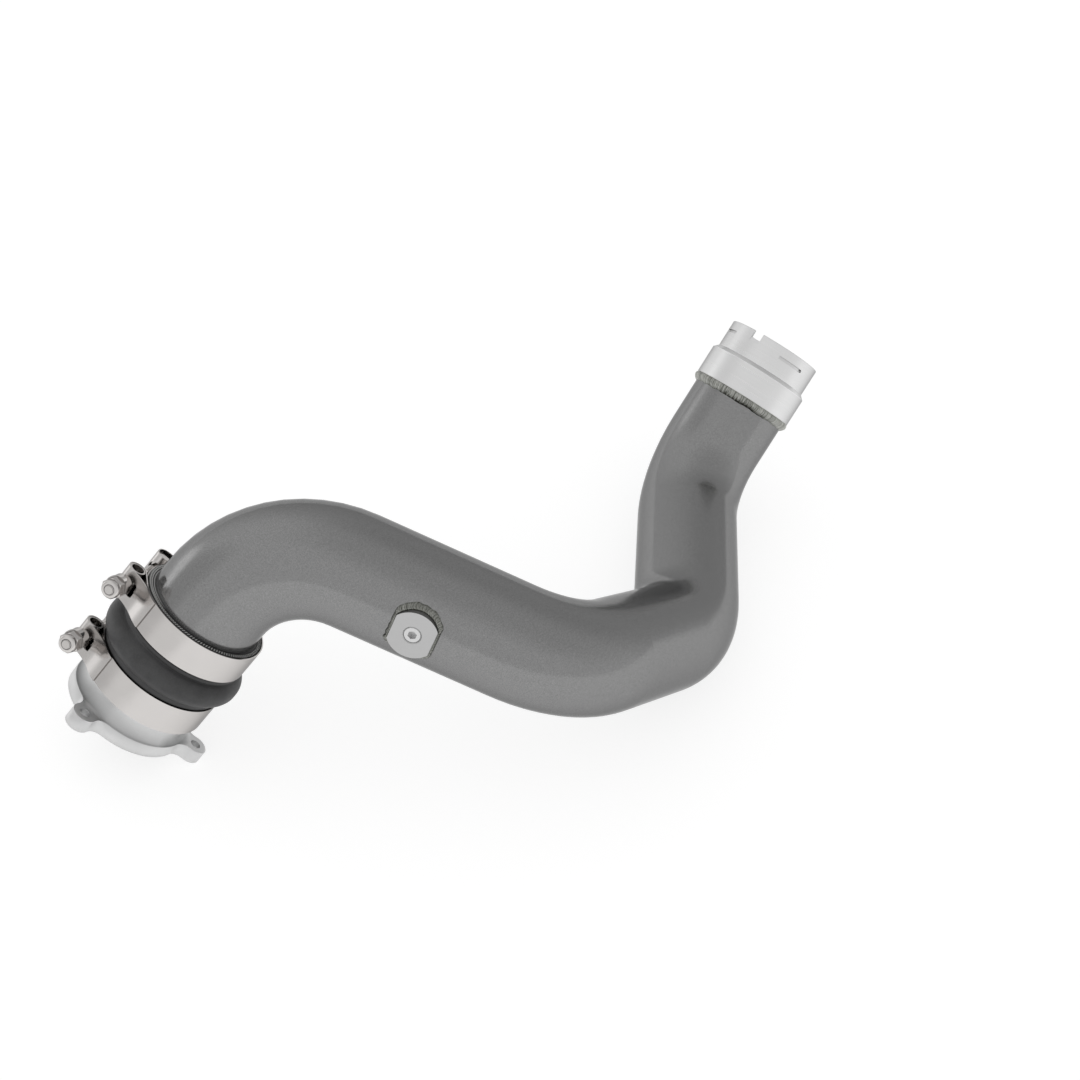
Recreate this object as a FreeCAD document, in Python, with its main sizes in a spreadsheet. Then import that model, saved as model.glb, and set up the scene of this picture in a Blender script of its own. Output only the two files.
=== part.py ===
import FreeCAD, Part
import Sketcher
import math
import os
from FreeCAD import Placement, Rotation, Vector

# Intercooler charge pipe: a bent aluminium tube with a quick-connect spigot welded to one end and
# a plugged sensor bung on its side. The other end slips into a hump hose, which two T-bolt
# clamps hold on the tube and on a three-eared flange adapter.
# Lengths are millimetres and angles are degrees. The flange's mounting face is z = 0 of the
# joint's frame, its axis is Z towards the pipe, and X points the way the first bend turns.

SIZES = (
    # The tube and its bends, counted from the hose
    ("tube_outside", 69.85),
    ("tube_wall", 1.65),
    ("bend_radius", 69.85),
    ("straight_1", 9.9),
    ("bend_angle_1", 74.6),
    ("straight_2", 98.8),
    ("turn_angle_2", 95.1),
    ("bend_angle_2", 56.8),
    ("straight_3", 66.0),
    ("turn_angle_3", 25.3),
    ("bend_angle_3", 45.6),
    ("straight_4", 80.8),
    ("turn_angle_4", 83.7),
    ("bend_angle_4", 57.1),
    ("straight_5", 35.0),
    # The rolled bead at the end of the tube and of the flange's neck
    ("bead_rise", 1.5),
    ("bead_half_width", 1.8),
    ("bead_setback", 2.2),
    ("bead_clearance", 0.25),
    # The hump hose
    ("hose_length", 63.5),
    ("hose_wall", 4.5),
    ("hump_rise", 5.1),
    ("hump_shoulder", 4.0),
    ("hump_clearance", 0.2),
    # The flange adapter
    ("flange_thickness", 9.0),
    ("plate_margin", 3.575),
    ("neck_wall", 3.925),
    ("neck_clear", 13.0),
    ("neck_flare", 10.0),
    ("ear_offset", 11.075),
    ("ear_radius", 7.5),
    ("ear_fillet", 8.0),
    ("ear_angle_1", -111.5),
    ("ear_angle_2", 2.5),
    ("ear_angle_3", 125.5),
    ("ear_hole", 6.5),
    ("ear_spotface", 17.0),
    ("flange_edge", 0.5),
    ("seal_section", 3.1),
    ("seal_inset", 0.325),
    ("seal_groove_width", 3.4),
    ("seal_groove_depth", 2.4),
    # The T-bolt clamps, both alike and turned the same way
    ("clamp_angle", 169.8),
    ("band_width", 19.05),
    ("band_inset", 0.3),
    ("strap_thickness", 0.75),
    ("lap_gap", 0.05),
    ("lap_end_angle", 62.7),
    ("ramp_radius", 32.0),
    ("tongue_thickness", 0.575),
    ("tongue_half_angle", 62.0),
    ("tongue_width", 17.0),
    ("bolt_axis_rise", 2.95),
    ("eye_spread", 18.3),
    ("eye_clearance", 0.025),
    ("trunnion_outside", 9.8),
    ("trunnion_wall", 1.0),
    ("trunnion_inset", 0.2),
    ("bolt_diameter", 6.35),
    ("bolt_shank", 5.6),
    ("bolt_thread_start", 9.0),
    ("bolt_clearance", 0.12),
    ("bolt_tip", 0.7),
    ("head_bar_width", 8.8),
    ("head_bar_thickness", 3.6),
    ("head_bar_length", 16.0),
    ("spacer_neck", 8.0),
    ("spacer_neck_reach", 8.3),
    ("spacer_flange", 12.4),
    ("spacer_flange_height", 6.8),
    ("window_clearance", 0.3),
    ("window_drop", 6.0),
    ("washer_outside", 13.2),
    ("washer_thickness", 1.2),
    ("nut_across_flats", 11.11),
    ("nut_height", 5.5),
    ("nut_collar", 10.9),
    ("nut_collar_height", 2.4),
    ("nut_edge", 0.6),
    # The sensor bung on the second straight and its plug
    ("bung_position", 44.8),
    ("bung_angle", -174.0),
    ("bung_outside", 30.0),
    ("bung_across_flats", 25.0),
    ("bung_rise", 1.7),
    ("bung_spigot", 22.0),
    ("bung_depth", 6.8),
    ("bung_weld_leg", 3.2),
    ("bung_weld_drop", 0.3),
    ("bung_weld_ledge", 0.5),
    ("plug_outside", 10.3),
    ("plug_length", 5.8),
    ("plug_sink", 0.3),
    ("plug_edge", 0.5),
    ("plug_socket", 4.76),
    ("plug_socket_depth", 3.6),
    # The quick-connect spigot on the fifth straight
    ("collar_rise", 2.675),
    ("collar_length", 20.8),
    ("spigot_relief", 0.325),
    ("spigot_length", 19.7),
    ("fitting_wall", 2.5),
    ("fitting_edge", 0.25),
    ("tube_insert", 6.0),
    ("notch_angle", -48.85),
    ("notch_width", 7.5),
    ("notch_depth", 5.3),
    ("notch_step_height", 2.3),
    ("notch_step_depth", 0.5),
    ("slot_count", 3),
    ("slot_angle", -114.4),
    ("slot_spacing_angle", 100.7),
    ("slot_span_angle", 34.4),
    ("slot_width", 2.2),
    ("slot_drop", 7.7),
    ("slot_depth", 1.4),
    ("slot_hole", 1.6),
    ("end_weld_length", 5.8),
    ("end_weld_bulge", 3.7),
    # How the part lies: the angle of straight up about the fourth straight, and how far
    # either side of it the touch of the lowest ear is looked for
    ("rest_angle", -29.8),
    ("rest_search_angle", 15.0),
)

document = FreeCAD.newDocument("charge_pipe")
sheet = document.addObject("Spreadsheet::Sheet", "Sizes")
for row, (name, number) in enumerate(SIZES, 1):
    sheet.set(f"A{row}", name.replace("_", " "))
    sheet.set(f"B{row}", str(number))
    sheet.setAlias(f"B{row}", name)
document.recompute()

# Lengths that several pieces share, as expressions of the sheet's sizes
TUBE_RADIUS = "Sizes.tube_outside / 2"
TUBE_INSIDE = f"({TUBE_RADIUS} - Sizes.tube_wall)"
PLATE_RADIUS = f"({TUBE_RADIUS} + Sizes.plate_margin)"
FLANGE_BORE = f"({TUBE_RADIUS} - Sizes.neck_wall)"
EAR_REACH = f"({TUBE_RADIUS} + Sizes.ear_offset)"
SEAL_RADIUS = f"({TUBE_RADIUS} - Sizes.seal_inset)"
COLLAR_RADIUS = f"({TUBE_RADIUS} + Sizes.collar_rise)"
SPIGOT_RADIUS = f"({TUBE_RADIUS} - Sizes.spigot_relief)"
HOSE_RADIUS = f"({TUBE_RADIUS} + Sizes.hose_wall)"
HOSE_BOTTOM = "(Sizes.flange_thickness + Sizes.neck_clear)"
HOSE_TOP = f"({HOSE_BOTTOM} + Sizes.hose_length)"
HOSE_MIDDLE = f"({HOSE_BOTTOM} + Sizes.hose_length / 2)"
HUMP_HALF = "(Sizes.hose_length / 2 - Sizes.band_inset - Sizes.band_width - Sizes.hump_clearance)"
BEAD_OFFSET = f"({HUMP_HALF} - Sizes.hose_wall - Sizes.bead_clearance - Sizes.bead_half_width)"
NECK_BEAD = f"({HOSE_MIDDLE} - {BEAD_OFFSET})"
NECK_TOP = f"({NECK_BEAD} + Sizes.bead_setback)"
TUBE_BEAD = f"({HOSE_MIDDLE} + {BEAD_OFFSET})"
TUBE_END = f"({TUBE_BEAD} - Sizes.bead_setback)"
BEAD_ARC = "((Sizes.bead_half_width ^ 2 + Sizes.bead_rise ^ 2) / (2 * Sizes.bead_rise))"
BOLT_AXIS = f"({HOSE_RADIUS} + Sizes.bolt_axis_rise)"
BOLT_RADIUS = "Sizes.bolt_diameter / 2"
BOLT_HOLE = f"({BOLT_RADIUS} + Sizes.bolt_clearance)"
BUNG_FACE = f"({TUBE_RADIUS} + Sizes.bung_rise)"


def value(expression):
    """The number that an expression of the sheet's sizes comes to."""
    result = sheet.evalExpression(str(expression))
    return float(getattr(result, "Value", result))


def bind(item, **expressions):
    """Set properties of an object from expressions of the sheet's sizes."""
    for prop, expression in expressions.items():
        item.setExpression(prop, str(expression))


def origin_plane(body, role):
    return next(item for item in body.Origin.OriginFeatures if item.Role == role)


def new_body(name):
    return document.addObject("PartDesign::Body", name)


def new_sketch(body, name, role):
    sketch = body.newObject("Sketcher::SketchObject", name)
    sketch.AttachmentSupport = [(origin_plane(body, role), "")]
    sketch.MapMode = "FlatFace"
    return sketch


def constrain(sketch, kind, *places, expression=None):
    """Add one constraint, with its size bound to an expression where it has one."""
    if expression is None:
        sketch.addConstraint(Sketcher.Constraint(kind, *places))
        return
    index = sketch.addConstraint(Sketcher.Constraint(kind, *places, value(expression)))
    sketch.setExpression(f"Constraints[{index}]", str(expression))


def draw_outline(sketch, corners, arcs=None):
    """Draw a closed outline through corners given as pairs of expressions.

    A side is straight unless arcs names its first corner, with the radius of the arc and the
    side of the direction of travel, left or right, to which it bulges.
    """
    arcs = arcs or {}
    points = [Vector(value(x), value(y), 0) for x, y in corners]
    first = sketch.GeometryCount
    starts = []
    ends = []
    for index, start in enumerate(points):
        end = points[(index + 1) % len(points)]
        if index not in arcs:
            sketch.addGeometry(Part.LineSegment(start, end), False)
            starts.append(1)
            ends.append(2)
            continue
        expression, bulge = arcs[index]
        radius = value(expression)
        chord = end - start
        reach = math.sqrt(max(radius**2 - (chord.Length / 2) ** 2, 0))
        side = Vector(-chord.y, chord.x, 0).normalize() * (1 if bulge == "right" else -1)
        centre = (start + end) / 2 + side * reach
        angles = [math.atan2(p.y - centre.y, p.x - centre.x) for p in (start, end)]
        if bulge == "left":
            angles.reverse()
        if angles[1] < angles[0]:
            angles[1] += 2 * math.pi
        circle = Part.Circle(centre, Vector(0, 0, 1), radius)
        sketch.addGeometry(Part.ArcOfCircle(circle, *angles), False)
        starts.append(1 if bulge == "right" else 2)
        ends.append(2 if bulge == "right" else 1)
    for index, (x, y) in enumerate(corners):
        here = first + index
        after = first + (index + 1) % len(corners)
        constrain(sketch, "Coincident", here, ends[index], after, starts[after - first])
        constrain(sketch, "DistanceX", here, starts[index], expression=x)
        constrain(sketch, "DistanceY", here, starts[index], expression=y)
        if index in arcs:
            constrain(sketch, "Radius", here, expression=arcs[index][0])


def add_revolution(body, name, corners, arcs=None, kind="PartDesign::Revolution"):
    """Turn an outline of radius and height about the body's Z axis."""
    sketch = new_sketch(body, f"{name}_section", "XZ_Plane")
    draw_outline(sketch, corners, arcs)
    feature = body.newObject(kind, name)
    feature.Profile = sketch
    feature.ReferenceAxis = (sketch, ["V_Axis"])
    feature.Angle = 360
    return feature


def turned_body(name, corners, arcs=None):
    body = new_body(name)
    add_revolution(body, f"{name}_turning", corners, arcs)
    return body


def cylinder(name, radius, height, place=Placement(), angle=360):
    item = document.addObject("Part::Cylinder", name)
    bind(item, Radius=radius, Height=height)
    if angle != 360:
        bind(item, Angle=angle)
    item.Placement = place
    return item


def box(name, length, width, height, place=Placement()):
    item = document.addObject("Part::Box", name)
    bind(item, Length=length, Width=width, Height=height)
    item.Placement = place
    return item


def hexagon(name, across_flats, height, place=Placement()):
    item = document.addObject("Part::Prism", name)
    item.Polygon = 6
    bind(item, Circumradius=f"{across_flats} / sqrt(3)", Height=height)
    item.Placement = place
    return item


def cut(name, base, *tools):
    """Cut each tool from the base in turn; the last cut carries the name."""
    for number, tool in enumerate(tools, 1):
        last = number == len(tools)
        result = document.addObject("Part::Cut", name if last else f"{name}_cut_{number}")
        result.Base = base
        result.Tool = tool
        base = result
    return base


def combine(kind, name, base, tool):
    result = document.addObject(kind, name)
    result.Base = base
    result.Tool = tool
    return result


def along_z(distance):
    return Placement(Vector(0, 0, value(distance)), Rotation())


def about_z(angle):
    return Placement(Vector(), Rotation(Vector(0, 0, 1), value(angle)))


def bend_table():
    """Frames at the start of each straight, and the tube's centre line from its bead outwards.

    A frame's Z runs along the straight and its X points at the inside of the bend that ends it.
    """
    radius = value("Sizes.bend_radius")
    place = along_z(TUBE_END)
    lengths = [
        f"{HOSE_TOP} + Sizes.straight_1 - {TUBE_END}",
        "Sizes.straight_2",
        "Sizes.straight_3",
        "Sizes.straight_4",
        "Sizes.straight_5 + Sizes.tube_insert",
    ]
    frames = []
    edges = []
    for number, length in enumerate(lengths, 1):
        frames.append(place)
        skipped = 2 * value("Sizes.bead_setback") if number == 1 else 0
        end = place * along_z(length)
        begin = place * Placement(Vector(0, 0, skipped), Rotation())
        edges.append(Part.LineSegment(begin.Base, end.Base).toShape())
        if number == len(lengths):
            break
        hub = Placement(Vector(radius, 0, 0), Rotation())
        stations = []
        for share in (0.5, 1.0):
            swing = Rotation(Vector(0, 1, 0), value(f"Sizes.bend_angle_{number}") * share)
            stations.append(end * hub * Placement(Vector(), swing) * hub.inverse())
        middle, place = stations
        edges.append(Part.Arc(end.Base, middle.Base, place.Base).toShape())
        if number + 1 < len(lengths):
            place = place * about_z(f"Sizes.turn_angle_{number + 1}")
    return frames, edges


def make_charge_pipe(frames, edges, bung_place):
    """The bent tube, with the rolled bead that the hose grips behind and the hole for the bung."""
    start = frames[0] * Placement(Vector(0, 0, 2 * value("Sizes.bead_setback")), Rotation())
    circles = []
    for radius in (TUBE_RADIUS, TUBE_INSIDE):
        circle = Part.Circle(start.Base, Vector(0, 0, 1), value(radius))
        circles.append(Part.Wire(circle.toShape()))
    ring = Part.Face(Part.Wire(circles[0])).cut(Part.Face(Part.Wire(circles[1])))
    bent = document.addObject("Part::Feature", "bent_tube")
    bent.Shape = Part.Wire(edges).makePipe(ring.Faces[0])
    end = f"({TUBE_END} + 2 * Sizes.bead_setback)"
    bead_low = f"({TUBE_BEAD} - Sizes.bead_half_width)"
    bead_high = f"({TUBE_BEAD} + Sizes.bead_half_width)"
    sleeve = turned_body(
        "beaded_end",
        [
            (TUBE_INSIDE, TUBE_END),
            (TUBE_RADIUS, TUBE_END),
            (TUBE_RADIUS, bead_low),
            (TUBE_RADIUS, bead_high),
            (TUBE_RADIUS, end),
            (TUBE_INSIDE, end),
            (TUBE_INSIDE, bead_high),
            (TUBE_INSIDE, bead_low),
        ],
        {2: (BEAD_ARC, "right"), 6: (BEAD_ARC, "left")},
    )
    whole = combine("Part::Fuse", "tube_with_bead", bent, sleeve)
    hole = cylinder("bung_hole", "Sizes.bung_spigot / 2", "Sizes.tube_outside", bung_place)
    return cut("charge_pipe", whole, hole)


def make_hump_hose(seats):
    """The hose, its hump drawn with three tangent arcs and its wall of even thickness."""
    across = f"({HUMP_HALF} - Sizes.hump_shoulder)"
    crown = (
        f"(({across} ^ 2 + Sizes.hump_rise ^ 2 - Sizes.hump_shoulder ^ 2)"
        " / (2 * (Sizes.hump_rise - Sizes.hump_shoulder)))"
    )
    centre_drop = f"({crown} - Sizes.hump_rise)"
    share = f"({crown} / ({crown} - Sizes.hump_shoulder))"
    tangent_z = f"({across} * {share})"
    tangent_rise = f"({centre_drop} * ({share} - 1))"
    inner_half = f"({HUMP_HALF} - Sizes.hose_wall)"
    inner_crown = f"({crown} - Sizes.hose_wall)"
    inner_rise = f"(sqrt({inner_crown} ^ 2 - {inner_half} ^ 2) - {inner_crown} + Sizes.hump_rise)"
    outer_edge = f"{HOSE_RADIUS} + {tangent_rise}"
    inner_edge = f"{TUBE_RADIUS} + {inner_rise}"
    body = turned_body(
        "hose_moulding",
        [
            (TUBE_RADIUS, HOSE_BOTTOM),
            (HOSE_RADIUS, HOSE_BOTTOM),
            (HOSE_RADIUS, f"{HOSE_MIDDLE} - {HUMP_HALF}"),
            (outer_edge, f"{HOSE_MIDDLE} - {tangent_z}"),
            (outer_edge, f"{HOSE_MIDDLE} + {tangent_z}"),
            (HOSE_RADIUS, f"{HOSE_MIDDLE} + {HUMP_HALF}"),
            (HOSE_RADIUS, HOSE_TOP),
            (TUBE_RADIUS, HOSE_TOP),
            (TUBE_RADIUS, f"{HOSE_MIDDLE} + {inner_half}"),
            (inner_edge, f"{HOSE_MIDDLE} + {inner_half}"),
            (inner_edge, f"{HOSE_MIDDLE} - {inner_half}"),
            (TUBE_RADIUS, f"{HOSE_MIDDLE} - {inner_half}"),
        ],
        {
            2: ("Sizes.hump_shoulder", "right"),
            3: (crown, "right"),
            4: ("Sizes.hump_shoulder", "right"),
            9: (inner_crown, "left"),
        },
    )
    return cut("hump_hose", body, *seats)


def draw_flange_plate(sketch):
    """Round plate with an ear at each bolt hole, every arc tangent to the next."""
    plate = value(PLATE_RADIUS)
    reach = value(EAR_REACH)
    ear = value("Sizes.ear_radius")
    fillet = value("Sizes.ear_fillet")
    origin = Vector()
    spread = math.degrees(
        math.acos(
            (reach**2 + (plate + fillet) ** 2 - (ear + fillet) ** 2)
            / (2 * reach * (plate + fillet))
        )
    )
    angles = [value(f"Sizes.ear_angle_{number}") for number in (1, 2, 3)]

    def polar(radius, bearing):
        angle = math.radians(bearing)
        return Vector(radius * math.cos(angle), radius * math.sin(angle), 0)

    def add_arc(centre, radius, start, end):
        """Add the arc that runs anticlockwise between the bearings of two points."""
        first, last = [math.atan2(p.y - centre.y, p.x - centre.x) for p in (start, end)]
        if last < first:
            last += 2 * math.pi
        circle = Part.Circle(centre, Vector(0, 0, 1), radius)
        return sketch.addGeometry(Part.ArcOfCircle(circle, first, last), False)

    chain = []
    for number, angle in enumerate(angles, 1):
        ear_centre = polar(reach, angle)
        before = polar(plate + fillet, angle - spread)
        after = polar(plate + fillet, angle + spread)
        ear_start = ear_centre + (before - ear_centre).normalize() * ear
        ear_end = ear_centre + (after - ear_centre).normalize() * ear
        following = angles[number % len(angles)] - spread
        lead_in = add_arc(before, fillet, ear_start, polar(plate, angle - spread))
        tip = add_arc(ear_centre, ear, ear_start, ear_end)
        lead_out = add_arc(after, fillet, polar(plate, angle + spread), ear_end)
        rim = add_arc(origin, plate, polar(plate, angle + spread), polar(plate, following))
        bearing = f"Sizes.ear_angle_{number}"
        constrain(sketch, "DistanceX", tip, 3, expression=f"{EAR_REACH} * cos({bearing})")
        constrain(sketch, "DistanceY", tip, 3, expression=f"{EAR_REACH} * sin({bearing})")
        constrain(sketch, "Radius", tip, expression="Sizes.ear_radius")
        constrain(sketch, "Coincident", rim, 3, -1, 1)
        constrain(sketch, "Radius", rim, expression=PLATE_RADIUS)
        for blend in (lead_in, lead_out):
            constrain(sketch, "Radius", blend, expression="Sizes.ear_fillet")
        chain.append((lead_in, tip, lead_out, rim))
    for number, (lead_in, tip, lead_out, rim) in enumerate(chain):
        next_lead = chain[(number + 1) % len(chain)][0]
        constrain(sketch, "Tangent", lead_in, 1, tip, 1)
        constrain(sketch, "Tangent", tip, 2, lead_out, 2)
        constrain(sketch, "Tangent", lead_out, 1, rim, 1)
        constrain(sketch, "Tangent", rim, 2, next_lead, 2)


def make_flange_adapter():
    """Eared plate with a flared, beaded neck, a face groove for the seal and bolt seats."""
    body = new_body("flange_casting")
    outline = new_sketch(body, "plate_outline", "XY_Plane")
    draw_flange_plate(outline)
    plate = body.newObject("PartDesign::Pad", "plate")
    plate.Profile = outline
    bind(plate, Length="Sizes.flange_thickness")
    document.recompute()
    rims = [
        f"Edge{number}"
        for number, edge in enumerate(plate.Shape.Edges, 1)
        if abs(edge.BoundBox.ZLength) < 1e-6
    ]
    edges = body.newObject("PartDesign::Chamfer", "plate_edges")
    edges.Base = (plate, rims)
    bind(edges, Size="Sizes.flange_edge")
    overhang = f"({PLATE_RADIUS} - Sizes.flange_edge)"
    drop = f"sqrt(Sizes.neck_flare ^ 2 - ({TUBE_RADIUS} + Sizes.neck_flare - {overhang}) ^ 2)"
    add_revolution(
        body,
        "neck",
        [
            (FLANGE_BORE, "0"),
            (overhang, "0"),
            (overhang, "Sizes.flange_thickness"),
            (TUBE_RADIUS, f"Sizes.flange_thickness + {drop}"),
            (TUBE_RADIUS, f"{NECK_BEAD} - Sizes.bead_half_width"),
            (TUBE_RADIUS, f"{NECK_BEAD} + Sizes.bead_half_width"),
            (TUBE_RADIUS, NECK_TOP),
            (FLANGE_BORE, NECK_TOP),
        ],
        {2: ("Sizes.neck_flare", "left"), 4: (BEAD_ARC, "right")},
    )
    through = new_sketch(body, "bore_circle", "XY_Plane")
    circle = through.addGeometry(Part.Circle(Vector(), Vector(0, 0, 1), value(FLANGE_BORE)), False)
    constrain(through, "Coincident", circle, 3, -1, 1)
    constrain(through, "Radius", circle, expression=FLANGE_BORE)
    opening = body.newObject("PartDesign::Pocket", "bore")
    opening.Profile = through
    opening.Type = "ThroughAll"
    opening.Midplane = True
    inner = f"({SEAL_RADIUS} - Sizes.seal_groove_width / 2)"
    outer = f"({SEAL_RADIUS} + Sizes.seal_groove_width / 2)"
    depth = "Sizes.seal_groove_depth"
    add_revolution(
        body,
        "seal_groove",
        [(inner, "0"), (outer, "0"), (outer, depth), (inner, depth)],
        kind="PartDesign::Groove",
    )
    tools = []
    for number in (1, 2, 3):
        place = about_z(f"Sizes.ear_angle_{number}") * Placement(
            Vector(value(EAR_REACH), 0, 0), Rotation()
        )
        tools.append(
            cylinder(f"ear_hole_{number}", "Sizes.ear_hole / 2", "Sizes.flange_thickness", place)
        )
        tools.append(
            cylinder(
                f"ear_seat_{number}",
                "Sizes.ear_spotface / 2",
                "Sizes.neck_flare",
                place * along_z("Sizes.flange_thickness"),
            )
        )
    return cut("flange_adapter", body, *tools)


def make_flange_seal():
    """The seal lies on the bottom of its groove and stands proud of the flange's face."""
    ring = document.addObject("Part::Torus", "flange_seal")
    bind(ring, Radius1=SEAL_RADIUS, Radius2="Sizes.seal_section / 2")
    ring.Placement = along_z("Sizes.seal_groove_depth - Sizes.seal_section / 2")
    return ring


def strap_path():
    """Centre line of the strap as arcs of centre, radius, first and last bearing.

    It runs from the tail lapped beside one eye, over the ramp and round the eye, then round the
    hose to the other eye, ramp and tail. Bearings fall where the strap turns clockwise.
    """
    half_strap = value("Sizes.strap_thickness / 2")
    around = value(HOSE_RADIUS) + half_strap
    lap = around + 2 * half_strap + value("Sizes.lap_gap")
    loop = value("Sizes.trunnion_outside / 2 + Sizes.eye_clearance") + half_strap
    ramp = value("Sizes.ramp_radius")
    eye = Vector(value(BOLT_AXIS), value("Sizes.eye_spread"), 0)
    bearing = math.degrees(math.atan2(eye.y, eye.x))
    leave = bearing + math.degrees(math.acos((around + loop) / eye.Length))
    rise = (lap + ramp) ** 2 + eye.Length**2 - (loop + ramp) ** 2
    lapped = bearing + math.degrees(math.acos(rise / (2 * (lap + ramp) * eye.Length)))
    hub = Rotation(Vector(0, 0, 1), lapped).multVec(Vector(lap + ramp, 0, 0))
    meet = math.degrees(math.atan2(eye.y - hub.y, eye.x - hub.x)) % 360
    half = [
        (Vector(), lap, value("Sizes.lap_end_angle"), lapped),
        (hub, ramp, lapped + 180, meet),
        (eye, loop, meet - 180, leave - 180),
    ]
    path = half + [(Vector(), around, leave, 360 - leave)]
    for centre, radius, start, end in reversed(half):
        path.append((Vector(centre.x, -centre.y, 0), radius, -end, -start))
    return path


def strap_side(path, shift):
    """Edges of one face of the strap, shifted to the left of the direction of travel."""
    edges = []
    last = None
    for centre, radius, start, end in path:
        turn = 1 if end > start else -1
        reach = Vector(radius - turn * shift, 0, 0)
        points = [
            centre + Rotation(Vector(0, 0, 1), angle).multVec(reach)
            for angle in (start, (start + end) / 2, end)
        ]
        if last and last.distanceToPoint(points[0]) > 1e-6:
            edges.append(Part.LineSegment(last, points[0]).toShape())
        edges.append(Part.Arc(*points).toShape())
        last = points[-1]
    return edges


def make_clamp(side, middle):
    """One T-bolt clamp: strap, tongue, trunnion, T-bolt, spacer, washer and nut.

    In the clamp's frame X points out at the middle of its gap, Y along the bolt towards the
    nut, and Z along the hose. In the bolt's frame Z is the bolt's axis.
    """
    clamp = along_z(middle) * about_z("Sizes.clamp_angle")
    bolt_axis = Placement(
        Vector(value(BOLT_AXIS), 0, 0), Rotation(Vector(1, 0, 0), -90)
    )
    eye = Placement(
        Vector(value(BOLT_AXIS), value("Sizes.eye_spread"), 0), Rotation()
    )
    pieces = {}

    path = strap_path()
    half_strap = value("Sizes.strap_thickness / 2")
    left = strap_side(path, half_strap)
    right = strap_side(path, -half_strap)
    tails = [
        Part.LineSegment(left[-1].lastVertex().Point, right[-1].lastVertex().Point).toShape(),
        Part.LineSegment(right[0].firstVertex().Point, left[0].firstVertex().Point).toShape(),
    ]
    outline = Part.Wire(left + [tails[0]] + right[::-1] + [tails[1]])
    strap = document.addObject("Part::Feature", f"{side}_strap")
    strap.Shape = Part.Face(outline).extrude(Vector(0, 0, value("Sizes.band_width")))
    strap.Placement = along_z("-Sizes.band_width / 2")
    window_radius = "(Sizes.spacer_neck / 2 + Sizes.window_clearance)"
    window = cylinder(
        f"{side}_strap_window",
        window_radius,
        "2 * Sizes.eye_spread + Sizes.spacer_neck_reach",
        bolt_axis * along_z("-Sizes.eye_spread"),
    )
    drop = Placement(Vector(value("-Sizes.window_drop"), 0, 0), Rotation())
    slot_end = cylinder(
        f"{side}_strap_slot_end",
        window_radius,
        "Sizes.spacer_neck_reach",
        drop * bolt_axis * along_z("Sizes.eye_spread"),
    )
    slot = box(
        f"{side}_strap_slot",
        "Sizes.window_drop",
        "Sizes.spacer_neck_reach",
        f"2 * {window_radius}",
        Placement(
            Vector(
                value(f"{BOLT_AXIS} - Sizes.window_drop"),
                value("Sizes.eye_spread"),
                value(f"-{window_radius}"),
            ),
            Rotation(),
        ),
    )
    pieces["clamp_band"] = (
        cut(f"{side}_clamp_band", strap, window, slot_end, slot),
        clamp,
    )

    pieces["clamp_tongue"] = (tongue(f"{side}_clamp_tongue", Placement()), clamp)

    barrel = cylinder(
        f"{side}_trunnion_barrel",
        "Sizes.trunnion_outside / 2",
        "Sizes.band_width - 2 * Sizes.trunnion_inset",
        eye * along_z("Sizes.trunnion_inset - Sizes.band_width / 2"),
    )
    bore = cylinder(
        f"{side}_trunnion_bore",
        "Sizes.trunnion_outside / 2 - Sizes.trunnion_wall",
        "Sizes.band_width",
        eye * along_z("-Sizes.band_width / 2"),
    )
    cross_hole = cylinder(
        f"{side}_trunnion_cross_hole",
        BOLT_HOLE,
        "Sizes.trunnion_outside",
        bolt_axis * along_z("Sizes.eye_spread - Sizes.trunnion_outside / 2"),
    )
    pieces["clamp_trunnion"] = (cut(f"{side}_clamp_trunnion", barrel, bore, cross_hole), clamp)

    spacer_end = "(Sizes.eye_spread + Sizes.spacer_neck_reach + Sizes.spacer_flange_height)"
    washer_end = f"({spacer_end} + Sizes.washer_thickness)"
    hex_end = f"({washer_end} + Sizes.nut_height)"
    nut_end = f"({hex_end} + Sizes.nut_collar_height)"
    bolt_end = f"({nut_end} + Sizes.bolt_tip)"
    shank = turned_body(
        f"{side}_bolt_shank",
        [
            ("0", "-Sizes.eye_spread"),
            ("Sizes.bolt_shank / 2", "-Sizes.eye_spread"),
            ("Sizes.bolt_shank / 2", "Sizes.bolt_thread_start"),
            (BOLT_RADIUS, "Sizes.bolt_thread_start + Sizes.bolt_clearance"),
            (BOLT_RADIUS, f"{bolt_end} - 2 * Sizes.bolt_tip"),
            (f"{BOLT_RADIUS} - Sizes.bolt_tip", bolt_end),
            ("0", bolt_end),
        ],
    )
    bar = box(
        f"{side}_bolt_head",
        "Sizes.head_bar_width",
        "Sizes.head_bar_length",
        "Sizes.head_bar_thickness",
        Placement(
            Vector(
                value("-Sizes.head_bar_width / 2"),
                value("-Sizes.head_bar_length / 2"),
                value("-Sizes.eye_spread - Sizes.head_bar_thickness / 2"),
            ),
            Rotation(),
        ),
    )
    bolt = combine("Part::Fuse", f"{side}_clamp_bolt", bar, shank)
    pieces["clamp_bolt"] = (bolt, clamp * bolt_axis)

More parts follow.
